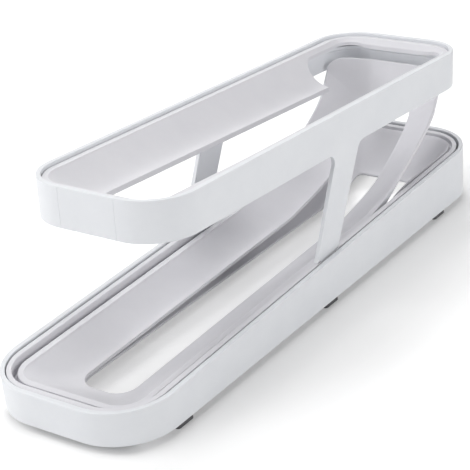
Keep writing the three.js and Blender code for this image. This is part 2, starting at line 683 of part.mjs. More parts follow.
function upperTrack() {
  const rimStart = TIER_RIM_WIDTH + TRACK_GAP;
  const rimEnd = rimStart + TRACK_RIM_WIDTH;
  const rim = roundedTop(TRACK_RIM_WIDTH, TRACK_RIM_ROUND).map(({ inset, drop }) =>
    onTier(rimStart + inset, TRACK_RIM_DROP + drop),
  );
  const rimFoot = TRACK_RIM_DROP + TRACK_RIM_ROUND;
  const rimEdge = nested(rimEnd, TIER_CORNER_RADIUS);
  const slot = {
    side: tierHalfWidth - TRACK_SLOT_WIDTH / 2,
    front: TRACK_SLOT_SETBACK,
    rear: TRACK_SLOT_SETBACK,
    frontRadius: TRACK_SLOT_RADIUS,
    rearRadius: TRACK_SLOT_RADIUS,
  };
  const lipOuter = { ...slot };
  for (const edge of ["side", "front", "rear"]) lipOuter[edge] -= TRACK_LIP_THICKNESS;
  const shares = troughShares(TRACK_CURVE_POWER);
  const slotDrop = (along) => TRACK_RIM_DROP + trackTroughDepth(along);
  const lipFoot = (x, along) => -slotDrop(along) - TRACK_LIP_HEIGHT;
  const skirtFoot = LEDGE_DROP - SEAT_GAP;
  const geometry = ringGeometry(
    levelRails(tierPlan, [
      onTier(rimStart, skirtFoot),
      ...rim,
      ...shares.map(({ across, down }) => ({
        inset: between(rimEdge, slot, across),
        level: (x, along) => -lerp(rimFoot, slotDrop(along), down),
      })),
      { inset: slot, level: lipFoot },
      { inset: lipOuter, level: lipFoot },
      ...shares
        .map(({ across, down }) => ({
          inset: between(rimEdge, lipOuter, across),
          level: (x, along) => -lerp(rimFoot, slotDrop(along), down) - TRACK_SHEET,
        }))
        .reverse(),
      onTier(rimStart + TRACK_SKIRT, rimFoot + TRACK_SHEET),
      onTier(rimStart + TRACK_SKIRT, skirtFoot),
    ]),
  );
  return toGeometry(toSolid(geometry).subtract(toSolid(dropOpening())));
}

// The opening at the rear of the track, through which what rolls down it reaches the ramp.
function dropOpening() {
  const half = tierHalfWidth - DROP_MARGIN;
  const rear = tierPlan.rear - DROP_MARGIN;
  const front = rear - DROP_LENGTH;
  const corner = (x, y) => ({ at: new THREE.Vector2(x, y), radius: DROP_CORNER_RADIUS });
  const shape = roundedShape([
    corner(half, front),
    corner(half, rear),
    corner(-half, rear),
    corner(-half, front),
  ]);
  const depth = TRACK_RIM_DROP + TRACK_REAR_TROUGH_DEPTH + TRACK_LIP_HEIGHT + CUT_OVERRUN;
  return new THREE.ExtrudeGeometry(shape, {
    depth,
    bevelEnabled: false,
    curveSegments: CORNER_STEPS,
  }).translate(0, 0, -depth);
}

// Feet

function foot() {
  const halfWidth = FOOT_WIDTH / 2;
  const halfLength = FOOT_LENGTH / 2;
  const corner = (x, y) => ({ at: new THREE.Vector2(x, y), radius: FOOT_CORNER_RADIUS });
  const shape = roundedShape([
    corner(halfWidth, -halfLength),
    corner(halfWidth, halfLength),
    corner(-halfWidth, halfLength),
    corner(-halfWidth, -halfLength),
  ]);
  return new THREE.ExtrudeGeometry(shape, {
    depth: FOOT_HEIGHT - SEAT_GAP - 2 * FOOT_EDGE_ROUND,
    bevelSize: FOOT_EDGE_ROUND,
    bevelOffset: -FOOT_EDGE_ROUND,
    bevelThickness: FOOT_EDGE_ROUND,
    bevelSegments: 1,
    curveSegments: EDGE_STEPS,
  }).translate(0, 0, FOOT_EDGE_ROUND);
}

// Assembly

function moulded(colour, roughness) {
  return new THREE.MeshStandardMaterial({ color: colour, roughness, metalness: 0 });
}

function plastic(colour) {
  return moulded(colour, PLASTIC_ROUGHNESS);
}

function piece(name, geometry, material) {
  const mesh = new THREE.Mesh(geometry, material);
  mesh.name = name;
  return mesh;
}

const dispenser = new THREE.Group();
dispenser.add(
  piece("base_shell", baseShell(), plastic(SHELL_COLOUR)),
  piece("base_tray", baseTray(), plastic(TRAY_COLOUR)),
  piece("slide", slide(), plastic(TRAY_COLOUR)),
);

const upperTier = new THREE.Group();
upperTier.position.set(0, TIER_CENTRE_Y, TIER_HEIGHT);
upperTier.rotation.x = -radians(TIER_TILT);
upperTier.add(
  piece("upper_frame", upperFrame(), plastic(SHELL_COLOUR)),
  piece("upper_track", upperTrack(), plastic(TRAY_COLOUR)),
);
dispenser.add(upperTier);

const footRows = [
  { row: "front", y: basePlan.front + FOOT_FRONT_SETBACK },
  { row: "middle", y: 0 },
  { row: "rear", y: basePlan.rear - FOOT_REAR_SETBACK },
];
for (const { row, y } of footRows) {
  for (const [hand, side] of [
    ["left", -1],
    ["right", 1],
  ]) {
    const pad = piece(`foot_${row}_${hand}`, foot(), moulded(RUBBER_COLOUR, RUBBER_ROUGHNESS));
    pad.position.set(side * (BASE_WIDTH / 2 - FOOT_INSET - FOOT_WIDTH / 2), y, 0);
    dispenser.add(pad);
  }
}

export default dispenser;
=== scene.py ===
"""Looks of the two-tier roll-down dispenser: fine moulded shells in place of the faceted solids, satin white
plastic and rubber, a pale floor, soft studio light and the camera.

Sizes are in millimetres in the part's own frame, and become metres where a mesh is made.
"""
import math
from typing import NamedTuple

import bmesh
import bpy
import numpy as np
from mathutils import Matrix, Vector


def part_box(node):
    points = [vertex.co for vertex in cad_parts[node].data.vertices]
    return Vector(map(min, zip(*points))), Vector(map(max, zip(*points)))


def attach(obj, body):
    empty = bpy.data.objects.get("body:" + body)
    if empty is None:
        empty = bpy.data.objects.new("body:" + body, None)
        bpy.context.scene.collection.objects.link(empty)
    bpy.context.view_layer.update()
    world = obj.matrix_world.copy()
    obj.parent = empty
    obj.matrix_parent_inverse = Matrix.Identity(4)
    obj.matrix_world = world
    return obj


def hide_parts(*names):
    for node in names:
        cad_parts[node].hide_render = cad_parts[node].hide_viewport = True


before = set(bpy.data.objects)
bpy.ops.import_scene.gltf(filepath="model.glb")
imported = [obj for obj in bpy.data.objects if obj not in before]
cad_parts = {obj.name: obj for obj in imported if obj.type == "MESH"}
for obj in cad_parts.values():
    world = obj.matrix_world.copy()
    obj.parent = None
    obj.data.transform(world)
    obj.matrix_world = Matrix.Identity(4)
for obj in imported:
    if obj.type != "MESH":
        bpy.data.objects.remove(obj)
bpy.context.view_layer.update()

MM = 0.001

# Fineness of the meshes
CORNER_STEPS = 24
EDGE_STEPS = 5
TROUGH_STEPS = 18
RUN_STEPS = 14
RAMP_STEPS = 56
LEG_COLUMNS = 14
FILLET_STEPS = 10
LEG_STEPS = 8
TRAY_CLIMB_STEPS = 36

# Fits and corners
SEAT_GAP = 0.3
CUT_OVERRUN = 1
CORNER_TIGHTENING = 1.45
TIGHTEST_CORNER = 1.5
ROUND_LIMIT_SHARE = 0.44

# Base shell
shell_low, shell_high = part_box("base_shell")
BASE_LENGTH = (shell_high.y - shell_low.y) / MM
BASE_WIDTH = (shell_high.x - shell_low.x) / MM
BASE_CORNER_RADIUS = 34.5
BASE_FRONT_HEIGHT = 23.7
BASE_REAR_HEIGHT = shell_high.z / MM
BASE_DRAFT = 0.7
BASE_RIM_WIDTH = 3.2
BASE_RIM_ROUND = 0.5
BASE_FOOT_ROUND = 0.4
BASE_WALL = 2.4
BASE_FILLET = 0.8
FLANGE_WIDTH = 13
FLANGE_THICKNESS = 2.2
FLANGE_EDGE_ROUND = 0.6

# Feet
FOOT_HEIGHT = shell_low.z / MM
FOOT_SPREAD = 1.2
FOOT_CORNER_RADIUS = 2.2
FOOT_EDGE_ROUND = 0.7
FOOT_TREAD_DEPTH = 0.25
FOOT_TREAD_MARGIN = 1.1

# Base tray
TRAY_GROOVE = 1.6
TRAY_RIM_WIDTH = 3.2
TRAY_RIM_SPREAD = 0.3
TRAY_SHIFT = -0.7
TRAY_RIM_ROUND = 0.5
TRAY_RIM_DROP = 0.7
TRAY_WALL = 2
TRAY_SHEET = 1.8
TRAY_SEAT_WIDTH = 4
TRAY_SLOT_WIDTH = 37
TRAY_SLOT_FRONT_RADIUS = 16
TRAY_SLOT_REAR_RADIUS = 3.5
TRAY_SLOT_FRONT_SETBACK = 37
TRAY_SLOT_REAR_SETBACK = 37.7
TRAY_SLOT_LIFT = 2
TRAY_SLOT_REAR_LIFT = 8.3
TRAY_SLOT_CLIMB_LENGTH = 41
TRAY_BOWL_DROP = 1.7
TRAY_BOWL_EDGE_DIP = 0.7
TRAY_BOWL_GROOVE_WIDTH = 1.7
TRAY_BOWL_GROOVE_DEPTH = 2.3
TRAY_BOWL_GROOVE_FLARE = 0.3
TRAY_BOWL_EDGE_ROUND = 0.6
TRAY_RISE_LENGTH = 50
TRAY_CURVE_POWER = 1.3

# Slide
SLIDE_GROOVE = 2.8
SLIDE_RIM_DROP = 3.3
SLIDE_RIM_WIDTH = 4.2
SLIDE_RAMP_RIM_WIDTH = 1.2
SLIDE_RAMP_EDGE = 1.3
SLIDE_EDGE_ROUND = 0.5
SLIDE_WALL_DEPTH = 5
SLIDE_SHEET = 2
SLIDE_TROUGH_DEPTH = 11.4
SLIDE_RAMP_TROUGH_DEPTH = 16.8
SLIDE_CURVE_POWER = 1.6
SLIDE_SLOT_WIDTH = 32
SLIDE_SLOT_RADIUS = 11
SLIDE_SLOT_FRONT_SETBACK = 26
SLIDE_SLOT_TOP_SETBACK = 15
SLIDE_LIP_HEIGHT = 2.3
SLIDE_LIP_THICKNESS = 1.6
SLIDE_TOP_RADIUS = 9
SLIDE_BLEND_LENGTH = 50
RUN_SLOPE = 1.85
LEAD_RADIUS = 24
LEAD_TURN = 11.9
RAMP_RADIUS = 250.6
RAMP_TURN = 17.2
BEND_RADIUS = 46.7
BEND_TURN = 45.1
SLIDE_TOP_SETBACK = 26.4
SLIDE_TOP_CLEARANCE = 2.4

# Upper tier
TIER_LENGTH = 318.5
TIER_CORNER_RADIUS = 28
TIER_CENTRE_Y = 20.3
TIER_HEIGHT = 108.3
TIER_TILT = 3.34
TIER_WALL_HEIGHT = 22.7
TIER_DRAFT = 0.4
TIER_RIM_WIDTH = 3.2
TIER_RIM_ROUND = 0.45
TIER_WALL = 2.6
TIER_FOOT_ROUND = 0.35
TIER_INNER_ROUND = 0.4
LEDGE_DROP = 8
LEDGE_WIDTH = 2.8
LEDGE_THICKNESS = 2
LEDGE_ROUND = 0.4
LEG_LEAN = 26.7
LEG_FOOT_Y = 1.9
LEG_FOOT_WIDTH = 22.8
LEG_TOP_WIDTH = 24.6
LEG_FRONT_FILLET = 5
LEG_REAR_FILLET = 8
TONGUE_LENGTH = 16
TONGUE_DEPTH = 7
TONGUE_CORNER_RADIUS = 1.2
NOTCH_PLAY = 0.05
WITNESS_HALF_SPACING = 18
WITNESS_WIDTH = 0.5
WITNESS_FLOOR_WIDTH = 0.24
WITNESS_DEPTH = 0.16

# Upper track
TRACK_GAP = 0.5
TRACK_RIM_DROP = 1.9
TRACK_RIM_WIDTH = 4.2
TRACK_RIM_ROUND = 0.5
TRACK_SKIRT = 1.6
TRACK_SHEET = 2
TRACK_FRONT_TROUGH_DEPTH = 12.8
TRACK_REAR_TROUGH_DEPTH = 17.3
TRACK_CURVE_POWER = 1.6
TRACK_SLOT_WIDTH = 32.4
TRACK_SLOT_RADIUS = 12
TRACK_SLOT_SETBACK = 24
TRACK_LIP_HEIGHT = 3.3
TRACK_LIP_THICKNESS = 1.6
DROP_LENGTH = 56
DROP_MARGIN = 10
DROP_CORNER_RADIUS = 14

# Rounding of the slide and the track where the trough turns down into its slot
SLOT_EDGE_ROUND = 0.4

# Angle in degrees at which an edge of a mesh stays crisp, and how far large faces even out the shading
SHARP_ANGLE = 38
SHADING_WEIGHT = 100


def lerp(a, b, share):
    return a + (b - a) * share


def clamped_share(value, start, end):
    """How far a value has come from start to end, no less than none and no more than all of the way."""
    return min(max((value - start) / (end - start), 0), 1)


def smoothstep(value, start, end):
    share = clamped_share(value, start, end)
    return share * share * (3 - 2 * share)


# Plan outlines


class Inset(NamedTuple):
    """How far a line of a plan lies inside its outline, and the radii of its corners."""

    side: float
    front: float
    rear: float
    front_radius: float
    rear_radius: float


class Plan(NamedTuple):
    """An outline with round corners and the stations that its lines share."""

    half: float
    front: float
    rear: float
    side_stations: tuple = ()
    rear_shares: tuple = ()
    front_places: tuple = ()


def nested(inset, radius):
    """A line inside the outline, with corners a little tighter than parallel ones."""
    corner = max(radius - inset * CORNER_TIGHTENING, TIGHTEST_CORNER)
    return Inset(inset, inset, inset, corner, corner)


def between(a, b, share):
    return Inset(*(lerp(p, q, share) for p, q in zip(a, b)))


def grown(inset, margin):
    """The line that runs a margin outside a slot's edge."""
    return Inset(
        inset.side - margin,
        inset.front - margin,
        inset.rear - margin,
        inset.front_radius + margin,
        inset.rear_radius + margin,
    )


def corner_arc(x, y, radius, first_quarter):
    """One rounded corner, from the given quarter turn to the next."""
    angles = (first_quarter + np.linspace(0, 1, CORNER_STEPS + 1)) * math.pi / 2
    return np.column_stack([x + radius * np.cos(angles), y + radius * np.sin(angles)])


def plan_line(plan, inset):
    """One line round a plan, anticlockwise from above, as rows of x and y."""
    half = plan.half - inset.side
    front = plan.front + inset.front
    rear = plan.rear - inset.rear
    front_x = half - inset.front_radius
    rear_x = half - inset.rear_radius
    front_y = front + inset.front_radius
    rear_y = rear - inset.rear_radius
    right = np.array([(half, y) for y in plan.side_stations]).reshape(-1, 2)
    rear_edge = np.array([(rear_x * share, rear) for share in plan.rear_shares]).reshape(-1, 2)
    front_edge = np.array([(x, front) for x in plan.front_places]).reshape(-1, 2)
    return np.vstack(
        [
            corner_arc(front_x, front_y, inset.front_radius, -1),
            right,
            corner_arc(rear_x, rear_y, inset.rear_radius, 0),
            rear_edge,
            corner_arc(-rear_x, rear_y, inset.rear_radius, 1),
            right[::-1] * (-1, 1),
            corner_arc(-front_x, front_y, inset.front_radius, 2),
            front_edge,
        ]
    )


def turn_shares(angle, steps):
    """Sine and one minus cosine over a turn, in even steps."""
    return [(math.sin(a), 1 - math.cos(a)) for a in np.linspace(0, angle, steps + 1)]


QUARTER_TURN = turn_shares(math.pi / 2, EDGE_STEPS)
HALF_TURN = turn_shares(math.pi, 2 * EDGE_STEPS)


def rounded_top(width, rounding):
    """The rounded top of a wall, outer face to inner face, as insets and drops from its outer line."""
    radius = min(rounding, width * ROUND_LIMIT_SHARE)
    outer = [(radius * c, radius * (1 - s)) for s, c in QUARTER_TURN]
    inner = [(width - inset, drop) for inset, drop in reversed(outer)]
    return outer + inner


def slot_section(slot, lip_height, lip_thickness):
    """Lines and depths over the turn from a trough into its slot, and round the lip that hangs there."""
    turn = [(grown(slot, SLOT_EDGE_ROUND * (1 - s)), SLOT_EDGE_ROUND * c) for s, c in QUARTER_TURN[1:]]
    radius = lip_thickness / 2
    lip = [(grown(slot, radius * c), lip_height - radius * (1 - s)) for s, c in HALF_TURN]
    return turn + lip


def trough_shares(power):
    """Shares across a trough, each with how far down it has gone: steep at its rim and flat at its slot."""
    steps = [(i + 1) / TROUGH_STEPS for i in range(TROUGH_STEPS)]
    return [(across, 1 - (1 - across) ** power) for across in steps]


# Meshes


def level_rails(plan, section):
    """Rails of a piece whose height is a function of its plan. A section is a list of insets and levels."""
    rails = []
    for inset, level in section:
        line = plan_line(plan, inset)
        heights = [level(x, y) for x, y in line]
        rails.append(np.column_stack([line, heights]))
    return rails


def ring_faces(rail_count, length):
    """Quads of a closed ring solid, keyed by rail and place along it."""
    faces = {}
    for i in range(rail_count):
        above = (i + 1) % rail_count
        for j in range(length):
            k = (j + 1) % length
            faces[i, j] = (i * length + j, i * length + k, above * length + k, above * length + j)
    return faces


def make_object(name, vertices, faces, place=Matrix.Identity(4)):
    """A mesh object from points in millimetres, smooth but for its crisp edges."""
    mesh = bpy.data.meshes.new(name)
    mesh.from_pydata([Vector(v) * MM for v in vertices], [], faces)
    mesh.transform(place)
    piece = bpy.data.objects.new(name, mesh)
    bpy.context.scene.collection.objects.link(piece)
    tidy_mesh(mesh)
    return piece


def tidy_mesh(mesh):
    """Faces point outward and flow smoothly into each other, except over crisp edges."""
    work = bmesh.new()
    work.from_mesh(mesh)
    bmesh.ops.recalc_face_normals(work, faces=work.faces)
    work.to_mesh(mesh)
    work.free()
    mesh.shade_smooth()
    mesh.set_sharp_from_angle(angle=math.radians(SHARP_ANGLE))


def ring_object(name, rails, place=Matrix.Identity(4)):
    faces = ring_faces(len(rails), len(rails[0]))
    return make_object(name, np.vstack(rails), list(faces.values()), place)


def cut(piece, cutters):
    """Takes the cutters out of a piece and deletes them."""
    for cutter in cutters:
        modifier = piece.modifiers.new("cut", "BOOLEAN")
        modifier.operation = "DIFFERENCE"
        modifier.solver = "EXACT"
        modifier.object = cutter
    bpy.context.view_layer.update()
    evaluated = piece.evaluated_get(bpy.context.evaluated_depsgraph_get())
    mesh = bpy.data.meshes.new_from_object(evaluated)
    piece.modifiers.clear()
    piece.data = mesh
    for cutter in cutters:
        bpy.data.objects.remove(cutter)
    mesh.name = piece.name
    tidy_mesh(mesh)


def prism(name, outline, low, high, place=Matrix.Identity(4)):
    """A straight prism over an outline, from one height to another."""
    count = len(outline)
    vertices = [(x, y, low) for x, y in outline] + [(x, y, high) for x, y in outline]
    sides = [(i, (i + 1) % count, count + (i + 1) % count, count + i) for i in range(count)]
    ends = [tuple(range(count)), tuple(range(count, 2 * count))]
    return make_object(name, vertices, sides + ends, place)


def dress(piece, node, material, body):
    """A finished piece: its material and shading, the solid it stands for and the body that it rides on."""
    piece.data.materials.clear()
    piece.data.materials.append(material)
    shading = piece.modifiers.new("even_shading", "WEIGHTED_NORMAL")
    shading.keep_sharp = True
    shading.weight = SHADING_WEIGHT
    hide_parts(node)
    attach(piece, body)


# Base shell

base_plan = Plan(BASE_WIDTH / 2, -BASE_LENGTH / 2, BASE_LENGTH / 2)
tray_inset = BASE_RIM_WIDTH + TRAY_GROOVE
slide_inset = tray_inset + TRAY_RIM_WIDTH + SLIDE_GROOVE
tier_half_width = BASE_WIDTH / 2 - tray_inset


def rim_height(y):
    """Height of the shell's rim, which climbs evenly to the rear."""
    return lerp(BASE_FRONT_HEIGHT, BASE_REAR_HEIGHT, (y - base_plan.front) / BASE_LENGTH)


def flat(height):
    return lambda x, y: height


def under_rim(drop):
    """Level of a line that runs a drop under the shell's rim."""
    return lambda x, y: rim_height(y) - drop


def on_base(inset, level):
    return nested(inset, BASE_CORNER_RADIUS), level


def base_shell():
    flange_top = FOOT_HEIGHT + FLANGE_THICKNESS
    wall_foot = BASE_DRAFT + BASE_WALL
    edge = FLANGE_EDGE_ROUND
    skirt_round = [
        (BASE_DRAFT + BASE_FOOT_ROUND * (1 - s), flat(FOOT_HEIGHT + BASE_FOOT_ROUND * c))
        for s, c in QUARTER_TURN
    ]
    rim = [(inset, under_rim(drop)) for inset, drop in rounded_top(BASE_RIM_WIDTH, BASE_RIM_ROUND)]
    fillet = [
        (wall_foot + BASE_FILLET * c, flat(flange_top + BASE_FILLET * (1 - s))) for s, c in QUARTER_TURN
    ]
    flange_edge = [(FLANGE_WIDTH - edge * (1 - s), flat(flange_top - edge * c)) for s, c in QUARTER_TURN]
    lower_edge = [(FLANGE_WIDTH - edge * c, flat(FOOT_HEIGHT + edge * (1 - s))) for s, c in QUARTER_TURN]
    section = [*skirt_round, *rim, *fillet, *flange_edge, *lower_edge]
    return ring_object("shell_moulding", level_rails(base_plan, [on_base(*line) for line in section]))


# Path of the slide

tier_tilt = math.radians(TIER_TILT)
tier_rear_y = TIER_CENTRE_Y + TIER_LENGTH / 2 * math.cos(tier_tilt)


def tier_rim_height(y):
    return TIER_HEIGHT - (y - TIER_CENTRE_Y) * math.tan(tier_tilt)


slide_start_y = base_plan.front + slide_inset
slide_start = (slide_start_y, rim_height(slide_start_y) - SLIDE_RIM_DROP)
slide_end_y = tier_rear_y - SLIDE_TOP_SETBACK
slide_end = (
    slide_end_y,
    tier_rim_height(slide_end_y) - LEDGE_DROP - LEDGE_THICKNESS - SLIDE_TOP_CLEARANCE,
)
run_slope = math.radians(RUN_SLOPE)


def arc_step(slope, radius, turn):
    """Where an arc ends, relative to its start."""
    return (
        radius * (math.sin(slope + turn) - math.sin(slope)),
        radius * (math.cos(slope) - math.cos(slope + turn)),
    )


def slide_path():
    """The rim line as lengths and radii: a run, three arcs and a straight tail that ends at slide_end."""
    arcs = [(LEAD_RADIUS, LEAD_TURN), (RAMP_RADIUS, RAMP_TURN), (BEND_RADIUS, BEND_TURN)]
    slope = run_slope
    swept = np.zeros(2)
    segments = []
    for radius, degrees in arcs:
        turn = math.radians(degrees)
        swept += arc_step(slope, radius, turn)
        slope += turn
        segments.append((radius * turn, radius))
    reach, climb = np.subtract(slide_end, slide_start) - swept
    spread = math.sin(slope - run_slope)
    run = (reach * math.sin(slope) - climb * math.cos(slope)) / spread
    tail = (climb * math.cos(run_slope) - reach * math.sin(run_slope)) / spread
    return [(run, None), *segments, (tail, None)]


slide_segments = slide_path()
slide_length = sum(length for length, _ in slide_segments)
run_length = slide_segments[0][0]
ramp_start = run_length + slide_segments[1][0]
run_end_y = slide_start_y + run_length * math.cos(run_slope)


def slide_frame(along):
    """Place and slope of the rim line a distance along it."""
    y, z = slide_start
    slope = run_slope
    left = along
    for i, (length, radius) in enumerate(slide_segments):
        last = i == len(slide_segments) - 1
        part = left if last else min(left, length)
        if radius:
            step = arc_step(slope, radius, part / radius)
            y += step[0]
            z += step[1]
            slope += part / radius
        else:
            y += part * math.cos(slope)
            z += part * math.sin(slope)
        left -= part
        if left <= 0:
            break
    return y, z, slope


# Base tray


def ledge_level(rear_drop, lift=0):
    """Level of the ledge under the slide, which climbs to a drop under the shell's rim behind the slide."""

    def level(x, y):
        run_height = slide_start[1] + (y - slide_start_y) * math.tan(run_slope)
        under_slide = run_height - SLIDE_WALL_DEPTH - SEAT_GAP
        behind_slide = rim_height(y) - rear_drop
        climb = smoothstep(y, run_end_y, run_end_y + TRAY_RISE_LENGTH)
        return lerp(under_slide, behind_slide, climb) + lift

    return level


def tray_slot_height(y):
    """Height of the slot's edge, level along the run and curving up to its rear end."""
    climb_end = base_plan.rear - TRAY_SLOT_REAR_SETBACK
    share = clamped_share(y, climb_end - TRAY_SLOT_CLIMB_LENGTH, climb_end)
    return FOOT_HEIGHT + lerp(TRAY_SLOT_LIFT, TRAY_SLOT_REAR_LIFT, share**2)


def base_tray():
    slot_straight_end = base_plan.rear - TRAY_SLOT_REAR_SETBACK - TRAY_SLOT_REAR_RADIUS
    stations = np.linspace(run_end_y, slot_straight_end, TRAY_CLIMB_STEPS)[:-1]
    plan = base_plan._replace(
        front=base_plan.front + TRAY_SHIFT,
        rear=base_plan.rear + TRAY_SHIFT,
        side_stations=tuple(stations),
    )
    rim = [
        on_base(tray_inset - TRAY_RIM_SPREAD + inset, under_rim(TRAY_RIM_DROP + drop))
        for inset, drop in rounded_top(TRAY_RIM_WIDTH + TRAY_RIM_SPREAD, TRAY_RIM_ROUND)
    ]
    inner_wall = tray_inset + TRAY_RIM_WIDTH
    groove_radius = TRAY_BOWL_GROOVE_WIDTH / 2
    groove_end = inner_wall + TRAY_BOWL_GROOVE_WIDTH
    groove_drop = TRAY_BOWL_DROP + TRAY_BOWL_GROOVE_DEPTH
    groove = [
        on_base(inner_wall + groove_radius * c, ledge_level(groove_drop, groove_radius * (1 - s)))
        for s, c in HALF_TURN
    ]
    edge = TRAY_BOWL_EDGE_ROUND
    shoulder = groove_end + TRAY_BOWL_GROOVE_FLARE
    bowl_edge = [
        on_base(shoulder + edge * c, ledge_level(TRAY_BOWL_DROP, -edge * (1 - s))) for s, c in QUARTER_TURN
    ]
    slot = Inset(
        (BASE_WIDTH - TRAY_SLOT_WIDTH) / 2,
        TRAY_SLOT_FRONT_SETBACK,
        TRAY_SLOT_REAR_SETBACK,
        TRAY_SLOT_FRONT_RADIUS,
        TRAY_SLOT_REAR_RADIUS,
    )
    seat_end = nested(inner_wall + TRAY_SEAT_WIDTH, BASE_CORNER_RADIUS)
    seat_level = ledge_level(TRAY_BOWL_DROP + TRAY_BOWL_EDGE_DIP)
    edge_radius = TRAY_SHEET / 2
    near_slot = grown(slot, edge_radius)

    def sheet_level(down, under):
        """Level a share of the way from the seat down to the slot's edge, and a depth under the top face."""
        return lambda x, y: lerp(seat_level(x, y), tray_slot_height(y), down) - under

    def sheet_face(under):
        shares = [(0, 0), *trough_shares(TRAY_CURVE_POWER)]
        return [(between(seat_end, near_slot, across), sheet_level(down, under)) for across, down in shares]

    slot_edge = [
        (grown(slot, edge_radius * (1 - s)), sheet_level(1, edge_radius * c)) for s, c in HALF_TURN[1:-1]
    ]
    foot = FOOT_HEIGHT + FLANGE_THICKNESS + SEAT_GAP
    inner_foot = tray_inset + TRAY_WALL
    section = [
        on_base(tray_inset, flat(foot)),
        *rim,
        *groove,
        *bowl_edge,
        *sheet_face(0),
        *slot_edge,
        *reversed(sheet_face(TRAY_SHEET)),
        on_base(groove_end, ledge_level(groove_drop, -TRAY_SHEET)),
        on_base(inner_foot, ledge_level(groove_drop, -TRAY_SHEET)),
        on_base(inner_foot, flat(foot)),
    ]
    tray = ring_object("tray_moulding", level_rails(plan, section))
    cut(tray, [tray_notch(side) for side in (-1, 1)])
    return tray


def tongue_ends():
    return LEG_FOOT_Y - TONGUE_LENGTH / 2, LEG_FOOT_Y + TONGUE_LENGTH / 2


def tray_notch(side):
    """The notch in the tray's rim that takes a leg's tongue."""
    front, rear = tongue_ends()
    bottom = rim_height(front) - TRAY_RIM_DROP - TONGUE_DEPTH - SEAT_GAP
    top = rim_height(rear) + CUT_OVERRUN
    inner = side * (tier_half_width - TRAY_RIM_WIDTH - CUT_OVERRUN)
    outer = side * (tier_half_width + NOTCH_PLAY)
    x = (min(inner, outer), max(inner, outer))
    y = (front - SEAT_GAP, rear + SEAT_GAP)
    outline = [(x[0], y[0]), (x[1], y[0]), (x[1], y[1]), (x[0], y[1])]
    return prism("notch", outline, bottom, top)


# Slide


def on_slide(across, along, depth):
    """A point from its place across, its distance along the rim line and its depth under it."""
    y, z, slope = slide_frame(along)
    return across, y + depth * math.sin(slope), z - depth * math.cos(slope)


def ramp_depth(across, half_width):
    """Depth of the ramp's upper face under its rim."""
    rim_edge = half_width - SLIDE_RAMP_RIM_WIDTH
    slot_edge = SLIDE_SLOT_WIDTH / 2 + SLOT_EDGE_ROUND
    share = clamped_share(abs(across), rim_edge, slot_edge)
    return SLIDE_RAMP_TROUGH_DEPTH * (1 - (1 - share) ** SLIDE_CURVE_POWER)


def slide():
    half_width = BASE_WIDTH / 2 - slide_inset
    corner_radius = BASE_CORNER_RADIUS - slide_inset * CORNER_TIGHTENING
    slot_top = slide_length - SLIDE_SLOT_TOP_SETBACK - SLIDE_SLOT_RADIUS
    run_stations = np.linspace(corner_radius + SLIDE_SLOT_RADIUS, run_length, RUN_STEPS)
    ramp_stations = np.linspace(run_length, slot_top, RAMP_STEPS + 1)[1:]
    plan = Plan(
        half_width,
        0,
        slide_length,
        side_stations=(*run_stations, *ramp_stations),
        rear_shares=tuple(np.linspace(1, -1, 2 * TROUGH_STEPS)[1:-1]),
    )
    slot = Inset(
        half_width - SLIDE_SLOT_WIDTH / 2,
        SLIDE_SLOT_FRONT_SETBACK,
        SLIDE_SLOT_TOP_SETBACK,
        SLIDE_SLOT_RADIUS,
        SLIDE_SLOT_RADIUS,
    )

    def outline(inset):
        return nested(inset, corner_radius)._replace(rear_radius=SLIDE_TOP_RADIUS)

    def rail(run_inset, run_depth, ramp_inset, under_face):
        """One rail: its inset and depth on the run, and its inset and depth under the ramp's face."""
        points = []
        for on_run, up in zip(plan_line(plan, run_inset), plan_line(plan, ramp_inset)):
            share = smoothstep(on_run[1], run_length, ramp_start + SLIDE_BLEND_LENGTH)
            across, along = lerp(on_run, up, share)
            depth = lerp(run_depth, ramp_depth(across, half_width) + under_face, share)
            points.append(on_slide(across, along, depth))
        return np.array(points)

    run_rim = rounded_top(SLIDE_RIM_WIDTH, SLIDE_EDGE_ROUND)
    ramp_rim = rounded_top(SLIDE_RAMP_RIM_WIDTH, SLIDE_EDGE_ROUND)
    rim = []
    for i, ((inset, drop), (up_inset, up_drop)) in enumerate(zip(run_rim, ramp_rim)):
        outer_half = i <= EDGE_STEPS
        rim.append(rail(outline(inset), drop, outline(up_inset), up_drop if outer_half else 0))
    rim_edge = outline(SLIDE_RIM_WIDTH)
    ramp_rim_edge = outline(SLIDE_RAMP_RIM_WIDTH)

    def trough_face(slot_line, under):
        """One face of the trough, from its rim to a line by its slot, a depth under the upper face."""
        face = []
        for across, down in trough_shares(SLIDE_CURVE_POWER):
            depth = lerp(SLIDE_EDGE_ROUND, SLIDE_TROUGH_DEPTH, down) + under
            on_run, on_ramp = (between(edge, slot_line, across) for edge in (rim_edge, ramp_rim_edge))
            face.append(rail(on_run, depth, on_ramp, under))
        return face

    slot_edge = [
        rail(line, SLIDE_TROUGH_DEPTH + depth, line, depth)
        for line, depth in slot_section(slot, SLIDE_LIP_HEIGHT, SLIDE_LIP_THICKNESS)
    ]
    shoulder = outline(SLIDE_RIM_WIDTH - SLIDE_EDGE_ROUND)
    wall_inner = outline(SLIDE_LIP_THICKNESS)
    return ring_object(
        "slide_moulding",
        [
            rail(outline(0), SLIDE_WALL_DEPTH, outline(0), SLIDE_RAMP_EDGE),
            *rim,
            *trough_face(grown(slot, SLOT_EDGE_ROUND), 0),
            *slot_edge,
            *reversed(trough_face(grown(slot, SLIDE_LIP_THICKNESS), SLIDE_SHEET)),
            rail(shoulder, SLIDE_SHEET, ramp_rim_edge, SLIDE_SHEET + SEAT_GAP),
            rail(wall_inner, SLIDE_WALL_DEPTH, outline(SLIDE_EDGE_ROUND), SLIDE_RAMP_EDGE),
        ],
    )


# Upper tier, in its own frame: y along the tier from its middle, z up from the plane of its rim

